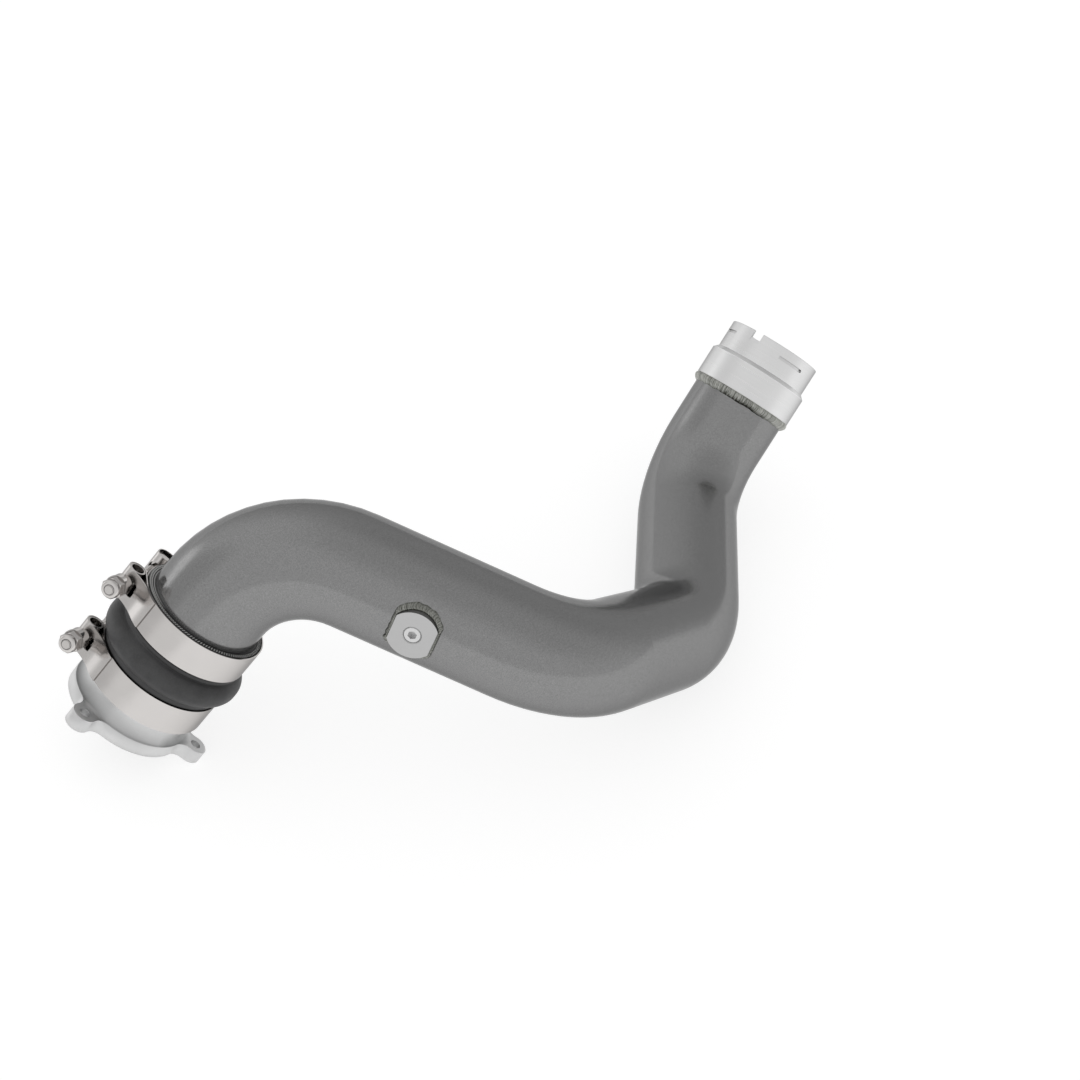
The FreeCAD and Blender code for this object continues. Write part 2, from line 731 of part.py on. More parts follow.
    spacer_seat = "(Sizes.eye_spread + Sizes.spacer_neck_reach)"
    neck = "Sizes.spacer_neck / 2"
    rim = "Sizes.spacer_flange / 2"
    turning = turned_body(
        f"{side}_spacer_turning",
        [
            (BOLT_HOLE, "Sizes.eye_spread"),
            (neck, "Sizes.eye_spread"),
            (neck, spacer_seat),
            (f"{rim} - Sizes.nut_edge", spacer_seat),
            (rim, f"{spacer_seat} + Sizes.nut_edge"),
            (rim, f"{spacer_end} - Sizes.nut_edge"),
            (f"{rim} - Sizes.nut_edge", spacer_end),
            (BOLT_HOLE, spacer_end),
        ],
    )
    saddle = cylinder(
        f"{side}_spacer_saddle",
        "Sizes.trunnion_outside / 2",
        "Sizes.band_width",
        bolt_axis.inverse() * eye * along_z("-Sizes.band_width / 2"),
    )
    pieces["clamp_spacer"] = (cut(f"{side}_clamp_spacer", turning, saddle), clamp * bolt_axis)

    washer = turned_body(
        f"{side}_clamp_washer",
        [
            (BOLT_HOLE, spacer_end),
            ("Sizes.washer_outside / 2", spacer_end),
            ("Sizes.washer_outside / 2", washer_end),
            (BOLT_HOLE, washer_end),
        ],
    )
    pieces["clamp_washer"] = (washer, clamp * bolt_axis)

    corner = "Sizes.nut_across_flats / sqrt(3)"
    bevel = f"({corner} - Sizes.nut_edge)"
    collar = "Sizes.nut_collar / 2"
    crown_arc = "(Sizes.nut_collar_height - Sizes.nut_edge)"
    nut_turning = turned_body(
        f"{side}_nut_turning",
        [
            (BOLT_RADIUS, washer_end),
            (bevel, washer_end),
            (corner, f"{washer_end} + Sizes.nut_edge / 2"),
            (corner, f"{hex_end} - Sizes.nut_edge / 2"),
            (bevel, hex_end),
            (collar, hex_end),
            (collar, f"{hex_end} + Sizes.nut_edge"),
            (f"{collar} - {crown_arc}", nut_end),
            (BOLT_RADIUS, nut_end),
        ],
        {6: (crown_arc, "right")},
    )
    blank = hexagon(
        f"{side}_nut_blank",
        "Sizes.nut_across_flats",
        "Sizes.nut_height + Sizes.nut_collar_height",
        along_z(washer_end),
    )
    nut = combine("Part::Common", f"{side}_clamp_nut", nut_turning, blank)
    pieces["clamp_nut"] = (nut, clamp * bolt_axis)
    return {f"{side}_{name}": piece for name, piece in pieces.items()}


def tongue(name, place):
    """Thin curved plate that closes the clamp's gap, let into the hose below the strap."""
    half = "Sizes.tongue_half_angle"
    low = place * along_z("-Sizes.tongue_width / 2") * about_z(f"-{half}")
    span = f"2 * {half}"
    width = "Sizes.tongue_width"
    outer = cylinder(f"{name}_outside", HOSE_RADIUS, width, low, span)
    inner = cylinder(f"{name}_inside", f"{HOSE_RADIUS} - Sizes.tongue_thickness", width, low, span)
    return cut(name, outer, inner)


def make_sensor_bung():
    """Round boss with two flats, saddled on the tube, its spigot through the tube's wall."""
    bottom = f"({BUNG_FACE} - Sizes.bung_depth)"
    disc = cylinder("bung_disc", "Sizes.bung_outside / 2", "Sizes.bung_depth", along_z(bottom))
    flats = box(
        "bung_flats",
        "Sizes.bung_outside",
        "Sizes.bung_across_flats",
        "Sizes.bung_depth",
        Placement(
            Vector(
                value("-Sizes.bung_outside / 2"),
                value("-Sizes.bung_across_flats / 2"),
                value(bottom),
            ),
            Rotation(),
        ),
    )
    head = combine("Part::Common", "bung_head", disc, flats)
    saddled = cut("bung_saddle", head, tube_core("bung_tube", TUBE_RADIUS))
    spigot = cylinder("bung_spigot", "Sizes.bung_spigot / 2", "Sizes.bung_depth", along_z(bottom))
    whole = combine("Part::Fuse", "bung_turning", saddled, spigot)
    drill = cylinder("bung_thread", "Sizes.plug_outside / 2", "Sizes.bung_depth", along_z(bottom))
    mouth = document.addObject("Part::Cone", "bung_countersink")
    bind(
        mouth,
        Radius1="Sizes.plug_outside / 2",
        Radius2="Sizes.plug_outside / 2 + Sizes.plug_edge",
        Height="Sizes.plug_edge",
    )
    mouth.Placement = along_z(f"{BUNG_FACE} - Sizes.plug_edge")
    return cut("sensor_bung", whole, drill, mouth)


def tube_core(name, radius):
    """Cylinder that stands for the tube in the bung's frame, where the tube runs along Y."""
    turned = Placement(Vector(), Rotation(Vector(1, 0, 0), 90)) * along_z("-Sizes.tube_outside / 2")
    return cylinder(name, radius, "Sizes.tube_outside", turned)


def make_bung_weld(bung_blank):
    """Fillet weld round the bung, its toe on the tube and its top just below the bung's face."""
    leg = "Sizes.bung_weld_leg"
    low = f"({BUNG_FACE} - Sizes.bung_depth)"
    top = f"({BUNG_FACE} - Sizes.bung_weld_drop)"
    cone = document.addObject("Part::Cone", "bung_weld_cone")
    bind(
        cone,
        Radius1=f"Sizes.bung_outside / 2 + {leg}",
        Radius2="Sizes.bung_outside / 2 + Sizes.bung_weld_ledge",
        Height=f"{top} - {low}",
    )
    cone.Placement = along_z(low)
    return cut("bung_weld", cone, tube_core("bung_weld_tube", TUBE_RADIUS), bung_blank)


def make_bung_plug():
    """Socket-headed taper plug, screwed in to just below the bung's face."""
    radius = "Sizes.plug_outside / 2"
    top = f"({BUNG_FACE} - Sizes.plug_sink)"
    low = f"({top} - Sizes.plug_length)"
    turning = turned_body(
        "plug_turning",
        [
            ("0", low),
            (f"{radius} - Sizes.plug_edge", low),
            (radius, f"{low} + Sizes.plug_edge"),
            (radius, f"{top} - Sizes.plug_edge"),
            (f"{radius} - Sizes.plug_edge", top),
            ("0", top),
        ],
    )
    depth = "Sizes.plug_socket_depth"
    key = hexagon("plug_key", "Sizes.plug_socket", depth, along_z(f"{top} - {depth}"))
    return cut("bung_plug", turning, key)


def make_quick_connect_end():
    """Turned spigot with a rim notch and shallow slots for a retaining clip's legs."""
    bore = f"({SPIGOT_RADIUS} - Sizes.fitting_wall)"
    edge = "Sizes.fitting_edge"
    taper_end = f"(Sizes.collar_length + {COLLAR_RADIUS} - {SPIGOT_RADIUS})"
    rim = f"({taper_end} + Sizes.spigot_length)"
    turning = turned_body(
        "spigot_turning",
        [
            (TUBE_RADIUS, "0"),
            (f"{COLLAR_RADIUS} - {edge}", "0"),
            (COLLAR_RADIUS, edge),
            (COLLAR_RADIUS, "Sizes.collar_length"),
            (SPIGOT_RADIUS, taper_end),
            (SPIGOT_RADIUS, f"{rim} - {edge}"),
            (f"{SPIGOT_RADIUS} - {edge}", rim),
            (f"{bore} + {edge}", rim),
            (bore, f"{rim} - {edge}"),
            (bore, "Sizes.tube_insert"),
            (TUBE_RADIUS, "Sizes.tube_insert"),
        ],
    )
    notch = box(
        "rim_notch",
        SPIGOT_RADIUS,
        "Sizes.notch_width",
        "Sizes.notch_depth",
        about_z("Sizes.notch_angle")
        * Placement(
            Vector(0, value("-Sizes.notch_width / 2"), value(f"{rim} - Sizes.notch_depth")),
            Rotation(),
        ),
    )
    step = box(
        "rim_notch_step",
        "Sizes.notch_step_depth + Sizes.collar_rise",
        "Sizes.notch_width",
        "Sizes.notch_step_height",
        about_z("Sizes.notch_angle")
        * Placement(
            Vector(
                value(f"{SPIGOT_RADIUS} - Sizes.notch_step_depth"),
                value("-Sizes.notch_width / 2"),
                value(f"{rim} - Sizes.notch_depth - Sizes.notch_step_height"),
            ),
            Rotation(),
        ),
    )
    tools = [notch, step]
    slot_low = f"({rim} - Sizes.slot_drop - Sizes.slot_width / 2)"
    for number in range(int(value("Sizes.slot_count"))):
        start = about_z(f"Sizes.slot_angle + {number} * Sizes.slot_spacing_angle")
        outer = cylinder(
            f"slot_{number + 1}_outside",
            COLLAR_RADIUS,
            "Sizes.slot_width",
            start * along_z(slot_low),
            "Sizes.slot_span_angle",
        )
        inner = cylinder(
            f"slot_{number + 1}_bottom",
            f"{SPIGOT_RADIUS} - Sizes.slot_depth",
            "Sizes.slot_width",
            start * along_z(slot_low),
            "Sizes.slot_span_angle",
        )
        tools.append(cut(f"slot_{number + 1}", outer, inner))
        end = start * about_z("Sizes.slot_span_angle") * along_z(f"{rim} - Sizes.slot_drop")
        tools.append(
            cylinder(
                f"slot_hole_{number + 1}",
                "Sizes.slot_hole / 2",
                COLLAR_RADIUS,
                end * Placement(Vector(), Rotation(Vector(0, 1, 0), 90)),
            )
        )
    return cut("quick_connect_end", turning, *tools)


def make_end_weld():
    """Fillet weld between the tube and the foot of the spigot."""
    foot = f"{COLLAR_RADIUS} - Sizes.fitting_edge"
    return turned_body(
        "end_weld",
        [(TUBE_RADIUS, "-Sizes.end_weld_length"), (foot, "0"), (TUBE_RADIUS, "0")],
        {0: ("Sizes.end_weld_bulge", "right")},
    )


def rest_rotation(frames):
    """How the pipe lies: on its fourth straight, with an ear of the flange as low as the tube.

    The straight's axis is level. The up direction starts at rest_angle about that axis and
    closes in on the one for which the lowest ear reaches the plane below the tube.
    """
    axis = frames[3].Rotation.multVec(Vector(0, 0, 1))
    side = frames[3].Rotation.multVec(Vector(1, 0, 0))
    across = axis.cross(side)
    ears = []
    for number in (1, 2, 3):
        place = about_z(f"Sizes.ear_angle_{number}")
        centre = place.multVec(Vector(value(EAR_REACH), 0, 0))
        ears += [centre, centre + Vector(0, 0, value("Sizes.flange_thickness"))]

    def up_at(angle):
        return side * math.cos(angle) + across * math.sin(angle)

    def clearance(angle):
        """Height of the lowest ear over the plane below the fourth straight."""
        up = up_at(angle)
        reach = value("Sizes.ear_radius") * math.hypot(up.x, up.y)
        return min(up.dot(ear) for ear in ears) - reach - up.dot(frames[3].Base) + value(TUBE_RADIUS)

    low = math.radians(value("Sizes.rest_angle - Sizes.rest_search_angle"))
    high = math.radians(value("Sizes.rest_angle + Sizes.rest_search_angle"))
    rising = clearance(high) > clearance(low)
    for _ in range(40):
        middle = (low + high) / 2
        if (clearance(middle) > 0) == rising:
            high = middle
        else:
            low = middle
    up = up_at((low + high) / 2)
    far_end = frames[4].Base
    ahead = (far_end - up * up.dot(far_end)).normalize()
    return Rotation(ahead, up.cross(ahead), up, "ZXY").inverted()


frames, edges = bend_table()
bung_place = frames[1] * along_z("Sizes.bung_position") * about_z("Sizes.bung_angle")
bung_place *= Placement(
    Vector(), Rotation(Vector(0, 1, 0), Vector(0, 0, 1), Vector(1, 0, 0), "ZXY")
)
fitting_place = frames[4] * along_z("Sizes.straight_5")
band_offset = "(Sizes.hose_length / 2 - Sizes.band_inset - Sizes.band_width / 2)"
clamp_middles = {
    "upper": f"({HOSE_MIDDLE} + {band_offset})",
    "lower": f"({HOSE_MIDDLE} - {band_offset})",
}

pieces = {}
pieces["charge_pipe"] = (make_charge_pipe(frames, edges, bung_place), Placement())
tongue_seats = [
    tongue(f"{side}_tongue_seat", along_z(middle) * about_z("Sizes.clamp_angle"))
    for side, middle in clamp_middles.items()
]
pieces["hump_hose"] = (make_hump_hose(tongue_seats), Placement())
pieces["flange_adapter"] = (make_flange_adapter(), Placement())
pieces["flange_seal"] = (make_flange_seal(), Placement())
for side, middle in clamp_middles.items():
    pieces.update(make_clamp(side, middle))
pieces["sensor_bung"] = (make_sensor_bung(), bung_place)
pieces["bung_weld"] = (make_bung_weld(document.getObject("bung_head")), bung_place)
pieces["bung_plug"] = (make_bung_plug(), bung_place)
pieces["quick_connect_end"] = (make_quick_connect_end(), fitting_place)
pieces["end_weld"] = (make_end_weld(), fitting_place)
document.recompute()

# Everything keeps its place in the joint's frame while the whole is laid down
turned = Placement(Vector(), rest_rotation(frames))
box_of_all = FreeCAD.BoundBox()
for name, (item, place) in pieces.items():
    item.Label = name
    item.Placement = turned * place * item.Placement
    box_of_all.add(item.Shape.optimalBoundingBox(False, False))
shift = Placement(
    Vector(-box_of_all.Center.x, -box_of_all.Center.y, -box_of_all.ZMin), Rotation()
)
for item, place in pieces.values():
    item.Placement = shift * item.Placement
document.recompute()

for item in document.Objects:
    if {"Invalid", "Error"} & set(item.State):
        raise RuntimeError(f"{item.Label} failed: {item.State}")
os.makedirs("parts", exist_ok=True)
for name, (item, place) in pieces.items():
    if item.Shape.isNull() or not item.Shape.isValid():
        raise RuntimeError(f"{name} has no valid shape")
    item.Shape.exportStep(f"parts/{name}.step")
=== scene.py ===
import math

import bmesh
import bpy
from mathutils import Matrix, Vector, noise


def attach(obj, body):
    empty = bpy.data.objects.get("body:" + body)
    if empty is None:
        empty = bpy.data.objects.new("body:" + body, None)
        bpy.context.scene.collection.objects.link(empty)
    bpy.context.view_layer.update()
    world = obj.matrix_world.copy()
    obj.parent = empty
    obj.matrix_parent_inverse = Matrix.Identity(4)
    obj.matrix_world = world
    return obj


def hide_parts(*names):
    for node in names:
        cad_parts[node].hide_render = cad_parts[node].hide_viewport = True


# Intercooler charge pipe lying on a white floor. Lengths are metres and angles are degrees.

# Frames that the pieces are built in, each as its origin and its X, Y and Z axes
FLANGE = (
    (-0.245744, 0.062085, 0.027981),
    (0.4962227, -0.7193324, -0.4861316),
    (0.5917074, 0.6899567, -0.4169438),
    (0.6353309, -0.0807506, 0.7680065),
)
SPIGOT = (
    (0.230230, 0.067702, 0.087751),
    (-0.3064388, -0.828833, 0.4681144),
    (0.6748613, -0.5359875, -0.5072274),
    (0.6713103, 0.1604781, 0.7235947),
)
BUNG = (
    (-0.087901, -0.019989, 0.116169),
    (-0.3578345, 0.0217772, -0.933531),
    (0.6471221, -0.7149489, -0.2647284),
    (-0.673192, -0.6988375, 0.2417409),
)

# The camera, as it was found from the photo
CAMERA_PLACE = (-0.416590, -0.527030, 0.742840)
CAMERA_AXES = (
    (0.82621, 0.33147, -0.45553),
    (-0.55639, 0.60697, -0.56746),
    (0.0884, 0.72229, 0.68591),
)
CAMERA_LENS = 50
CAMERA_SENSOR = 36
CAMERA_CLIP = (0.01, 50)

# The hose on the tube's end. Heights run up the flange's axis.
TUBE_RADIUS = 0.034925
HOSE_LOW = 0.022
HOSE_HIGH = 0.0855
HOSE_OUTSIDE = 0.039425
HOSE_ROUNDING = 0.0002
HOSE_STEP = 0.0005
HOSE_STEPS = 123
HOSE_AROUND = 540
HOSE_WANDER = 0.00012
HOSE_PLY = 0.00125
PLY_STEPS = 22
PLY_RELIEF = 0.0001
FABRIC_INSIDE = 0.0366
FABRIC_OUTSIDE = 0.0387
FABRIC_RECESS = 0.0018
WRAP_PITCH = 0.0016
ROPE_STRANDS = 135
ROPE_LEAN = 0.0036
UNWOUND_BEARING = 165

# The hump and the crease at its upper foot
HUMP_MIDDLE = 0.05355
HUMP_HALF_WIDTH = 0.00842
HUMP_RISE = 0.0056
HUMP_SHAPE = 2.6
HUMP_FOOT = 0.0004
CREASE_DEPTH = 0.0008
CREASE_ABOVE_FOOT = 0.0003
CREASE_HALF_WIDTH = 0.0007
CREASE_BEARING = -30

# Shade on the hose: beside the bands, in the crease and in the recess at the cut end
BAND_SHADE = (0.0003, 0.0016)
CREASE_SHADE = (0.0002, 0.0012)
CREASE_SHADE_ABOVE_FOOT = 0.0004
CREASE_SHADE_BEARING = -35
RECESS_SHADE = 0.0019
RECESS_MARGIN = 0.00015
CUT_MARGIN = 0.00036

# The clamps on the hose, and the dents that they leave in it
CLAMP_ANGLE = 169.8
CLAMP_MIDDLES = (0.075675, 0.031825)
BAND_HALF_WIDTH = 0.009525
BAND_SEAT = 0.00003
BAND_CLEAR = 0.001
BAND_GAP_DEPTH = 0.0009
BAND_GAP = (-0.0008, 0.0007)
TONGUE_HALF_WIDTH = 0.0086
TONGUE_HALF_ANGLE = 62.6
TONGUE_SEAT = 0.00064
THREAD_START = 0.009
THREAD_PITCH = 0.0009
THREAD_DEPTH = 0.0002

# The flange adapter
FLANGE_BORE = 0.031
FLANGE_THICKNESS = 0.009
FLANGE_EDGE = 0.0005
FLANGE_TOP = 0.0503
NECK_MIDDLE = 0.03
NECK_EDGE = 0.0003
PLATE_RADIUS = 0.0385
EAR_ANGLES = (-111.5, 2.5, 125.5)
EAR_REACH = 0.046
EAR_RADIUS = 0.0075
EAR_FILLET = 0.008
EAR_HOLE = 0.00325
SEAL_GROOVE = (0.0329, 0.0363, 0.0024)
FLARE_RISE = 0.0105
FLARE_LIMIT = 0.0076
FLARE_CUT = 12
FLARE_HALF_ANGLE = 21
FLARE_STEPS = 20
EAR_STEPS = 8
FILLET_POINTS = 26
EAR_POINTS = 60
PLATE_POINTS = 118
DRILL_SEGMENTS = 64

# Tones of the casting: painted shade on its flare, by height, radius and bearing, and painted light on its
# ears
SHADE_AND_LIGHT_FROM = 0.0087
FLARE_SHADE_TOP = 0.0195
FLARE_SHADE_OUTSIDE = 0.0425
SHADE_AND_LIGHT_SIDES = ((-150, 0.35, 0.9), (-17, 0.86, 0.97))
FLARE_SHADE_LEAST = 0.45
EAR_LIGHT_FROM = 0.041

# The spigot and the bead that joins it to the tube
SLOT_FLOOR = 0.0332
SLOT_MARGIN = 0.0006
SLOTS_FROM = 0.03
TAPER_MIDDLE = 0.0223
TAPER_HALF_LENGTH = 0.0017
END_WELD_LENGTH = 0.0058
END_WELD_WANDER = 0.0007
END_WELD_FOOT = 0.03735
END_WELD_BULGE = 0.0016
END_WELD_RIPPLES = 160
END_WELD_AROUND = 1920
END_WELD_ACROSS = 14
# Where the patch of painted shade on the end bead's toe lies
TOE_SHADE_BEARING = -24
TOE_SHADE_HALF_ANGLE = 36

# The bung and the bead round it
BUNG_RADIUS = 0.015
BUNG_HALF_FLATS = 0.0125
BUNG_FACE = 0.036625
BUNG_FACE_MARGIN = 0.00012
BUNG_BORE = 0.0105
BUNG_WELD_HEIGHT = 0.0015
BUNG_WELD_WIDTH = 0.0033
BUNG_WELD_BULGE = 0.0007
BUNG_WELD_RIPPLES = 72
BUNG_WELD_AROUND = 864
BUNG_WELD_ACROSS = 12
FLAT_FROM = 0.76
FLAT_EASE = 0.12
FLAT_NARROWING = 0.36

# What both beads share, and the angle from which an edge of any ring is sharp
RIPPLE_RELIEF = 0.0002
SHARP_ANGLE = 50

# How dark bare and coated metal turns where it is seen at a grazing angle
METAL_RIM = 0.42

# Middle parts of a noise, each of which is stretched over a whole range
NOISE_SPAN = (0.3, 0.7)
BROAD_SPAN = (0.3, 0.75)

# The room's light: how bright it is towards a direction, from one cosine with it to another
ROOM_LEVEL = 1.04
ROOM_TONES = (
    ((0.8, 0.55, 0.15), (0.3, 1, 1, 0.6)),
    ((0.42, -0.24, 0.87), (0.5, 1, 1, 0.75)),
    ((-0.84, 0.446, 0.3), (0.87, 0.985, 1, 0.76)),
    ((-0.53, 0.848, 0.03), (0.955, 0.99, 1, 1.9)),
)

# The floor, and how the camera sees it
FLOOR_HALF_WIDTH = 12
FLOOR_COLOUR = 0.85
FLOOR_SHADOW_COLOUR = 0.42
FLOOR_GLOW = 0.74

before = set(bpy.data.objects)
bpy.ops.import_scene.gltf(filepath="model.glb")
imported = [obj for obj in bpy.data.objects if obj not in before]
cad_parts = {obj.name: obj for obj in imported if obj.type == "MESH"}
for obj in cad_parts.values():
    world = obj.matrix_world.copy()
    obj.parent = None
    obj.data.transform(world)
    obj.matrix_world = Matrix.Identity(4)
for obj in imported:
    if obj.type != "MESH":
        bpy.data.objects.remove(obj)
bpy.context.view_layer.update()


def frame_matrix(place):
    """Matrix that takes a point of a frame to the scene."""
    origin, x_axis, y_axis, z_axis = [Vector(entry) for entry in place]
    turn = Matrix((x_axis, y_axis, z_axis)).transposed().to_4x4()
    return Matrix.Translation(origin) @ turn


def grey(level):
    """Colour with its three parts alike."""
    return (level, level, level)


def round_point(turn, radius, height):
    """Point at a share of a turn about the Z axis."""
    around = 2 * math.pi * turn
    return Vector((radius * math.cos(around), radius * math.sin(around), height))


def clamp_frame(middle):
    """Frame of a clamp, its X through the middle of the gap and its Y along the bolt."""
    turn = Matrix.Rotation(math.radians(CLAMP_ANGLE), 4, "Z")
    matrix = frame_matrix(FLANGE) @ Matrix.Translation((0, 0, middle)) @ turn
    return tuple(tuple(matrix.col[index].xyz) for index in (3, 0, 1, 2))


class Shading:
    """A material with one principled shader and short calls for the nodes that feed it."""

    def __init__(self, name, colour, roughness, metallic=0.0, rim=1.0):
        self.material = bpy.data.materials.new(name)
        self.material.use_nodes = True
        self.tree = self.material.node_tree
        self.tree.nodes.clear()
        self.shader = self.add("ShaderNodeBsdfPrincipled")
        self.shader.inputs["Base Color"].default_value = (*colour, 1)
        self.shader.inputs["Roughness"].default_value = roughness
        self.shader.inputs["Metallic"].default_value = metallic
        self.shader.inputs["Specular Tint"].default_value = (rim, rim, rim, 1)
        output = self.add("ShaderNodeOutputMaterial")
        self.link(self.shader.outputs["BSDF"], output.inputs["Surface"])

    def add(self, kind, **settings):
        node = self.tree.nodes.new(kind)
        for key, setting in settings.items():
            setattr(node, key, setting)
        return node

    def link(self, source, target):
        self.tree.links.new(source, target)

    def coordinates(self, place=None, scale=(1, 1, 1)):
        """Coordinates along the axes of a frame, stretched by scale."""
        source = self.add("ShaderNodeTexCoord").outputs["Object"]
        if place is not None:
            mapping = self.add("ShaderNodeMapping", vector_type="TEXTURE")
            matrix = frame_matrix(place)
            mapping.inputs["Location"].default_value = matrix.to_translation()
            mapping.inputs["Rotation"].default_value = matrix.to_euler()
            self.link(source, mapping.inputs["Vector"])
            source = mapping.outputs["Vector"]
        if scale != (1, 1, 1):
            stretch = self.add("ShaderNodeMapping")
            stretch.inputs["Scale"].default_value = scale
            self.link(source, stretch.inputs["Vector"])
            source = stretch.outputs["Vector"]
        return source

    def polar(self, vector):
        """Radius, bearing and height of a place about the Z axis of its frame."""
        split = self.add("ShaderNodeSeparateXYZ")
        self.link(vector, split.inputs[0])
        x, y, z = split.outputs
        squares = self.math("ADD", self.math("MULTIPLY", x, x), self.math("MULTIPLY", y, y))
        return self.math("SQRT", squares), self.math("ARCTAN2", y, x), z

    def towards(self, bearing, middle):
        """Cosine of the angle between a bearing and a middle one, which is in degrees."""
        return self.math("COSINE", self.math("SUBTRACT", bearing, math.radians(middle)))

    def noise(self, vector, scale, detail=3, roughness=0.5):
        node = self.add("ShaderNodeTexNoise")
        node.inputs["Scale"].default_value = scale
        node.inputs["Detail"].default_value = detail
        node.inputs["Roughness"].default_value = roughness
        self.link(vector, node.inputs["Vector"])
        return node.outputs["Fac"]

    def ranged(self, source, low, high, from_low=0.0, from_high=1.0):
        """Value that runs from low to high, and stays there, while the source crosses its span."""
        node = self.add("ShaderNodeMapRange")
        node.inputs["From Min"].default_value = from_low
        node.inputs["From Max"].default_value = from_high
        node.inputs["To Min"].default_value = low
        node.inputs["To Max"].default_value = high
        self.link(source, node.inputs["Value"])
        return node.outputs["Result"]

    def math(self, operation, first, second=None, third=None):
        node = self.add("ShaderNodeMath", operation=operation)
        for socket, source in zip(node.inputs, (first, second, third)):
            if source is None:
                continue
            if isinstance(source, (int, float)):
                socket.default_value = source
            else:
                self.link(source, socket)
        return node.outputs[0]

    def blend(self, factor, first, second):
        """Colour between two colours, each given as a tuple or a socket."""
        node = self.add("ShaderNodeMix", data_type="RGBA")
        self.link(factor, node.inputs[0])
        for socket, source in ((node.inputs[6], first), (node.inputs[7], second)):
            if isinstance(source, tuple):
                socket.default_value = (*source, 1)
            else:
                self.link(source, socket)
        return node.outputs[2]

    def crevice(self, reach):
        """Openness of a place, from 0 in a tight corner to 1 where nothing is within reach."""
        node = self.add("ShaderNodeAmbientOcclusion", samples=8)
        node.inputs["Distance"].default_value = reach
        return node.outputs["AO"]

    def colour(self, source):
        self.link(source, self.shader.inputs["Base Color"])

    def roughness(self, source):
        self.link(source, self.shader.inputs["Roughness"])

    def bump(self, height, distance, strength=1.0):
        """Relief of a height, over what relief there is already."""
        node = self.add("ShaderNodeBump")
        node.inputs["Strength"].default_value = strength
        node.inputs["Distance"].default_value = distance
        self.link(height, node.inputs["Height"])
        if self.shader.inputs["Normal"].is_linked:
            self.link(self.shader.inputs["Normal"].links[0].from_socket, node.inputs["Normal"])
        self.link(node.outputs["Normal"], self.shader.inputs["Normal"])

    def grain(self, smoothest, roughest, strength):
        """Fine grain in the roughness and in the relief."""
        fine = self.noise(self.coordinates(), 1500)
        self.roughness(self.ranged(fine, smoothest, roughest, *NOISE_SPAN))
        self.bump(fine, distance=0.00003, strength=strength)


def coated_aluminium():
    """Satin grey metallic coat with the fine grain of a powder finish."""
    look = Shading("grey_coat", grey(0.26), 0.16, metallic=0.75, rim=METAL_RIM)
    place = look.coordinates()
    fine = look.noise(place, 1300, 4, 0.7)
    look.colour(look.blend(look.ranged(fine, 0, 1, *NOISE_SPAN), grey(0.215), grey(0.325)))
    look.roughness(look.ranged(look.noise(place, 260, 4, 0.6), 0.13, 0.2, *NOISE_SPAN))
    look.bump(fine, distance=0.00003, strength=0.4)
    return look.material


def turned_aluminium(name, place, level, roughness, ring_scale):
    """Bare aluminium with turning marks: its shading and its colour, which isn't linked yet."""
    look = Shading(name, grey(level), roughness, metallic=1.0, rim=METAL_RIM)
    rings = look.noise(look.coordinates(place, (12, 12, ring_scale)), 1, 3, 0.6)
    broad = look.noise(look.coordinates(), 30, 4)
    metal = look.blend(look.ranged(broad, 0, 1, 0.35, 0.7), grey(level * 0.96), grey(level))
    look.roughness(look.ranged(rings, roughness - 0.04, roughness + 0.06, *NOISE_SPAN))
    look.bump(rings, distance=0.00001, strength=0.4)
    return look, metal


def spigot_aluminium():
    """Turned metal, with painted shade in its slots, and paler on its taper."""
    level = 0.79
    look, metal = turned_aluminium("turned_spigot", SPIGOT, level, 0.3, 1600)
    radius, _, height = look.polar(look.coordinates(SPIGOT))
    # Painted shade on the floors of the slots
    shaded_slot = look.math("COMPARE", radius, SLOT_FLOOR, SLOT_MARGIN)
    above = look.math("GREATER_THAN", height, SLOTS_FROM)
    metal = look.blend(look.math("MULTIPLY", shaded_slot, above), metal, grey(level * 0.84))
    taper = look.math("COMPARE", height, TAPER_MIDDLE, TAPER_HALF_LENGTH)
    look.colour(look.blend(taper, metal, grey(0.98)))
    return look.material


def bung_aluminium():
    """Turned metal, with painted shade on the sides below the face."""
    level = 0.53
    look, metal = turned_aluminium("faced_bung", BUNG, level, 0.4, 12)
    radius, _, height = look.polar(look.coordinates(BUNG))
    # Painted shade on the sides below the face
    below = look.math("LESS_THAN", height, BUNG_FACE - BUNG_FACE_MARGIN)
    side = look.math("MULTIPLY", below, look.math("GREATER_THAN", radius, BUNG_BORE))
    look.colour(look.blend(side, metal, grey(level * 0.5)))
    return look.material


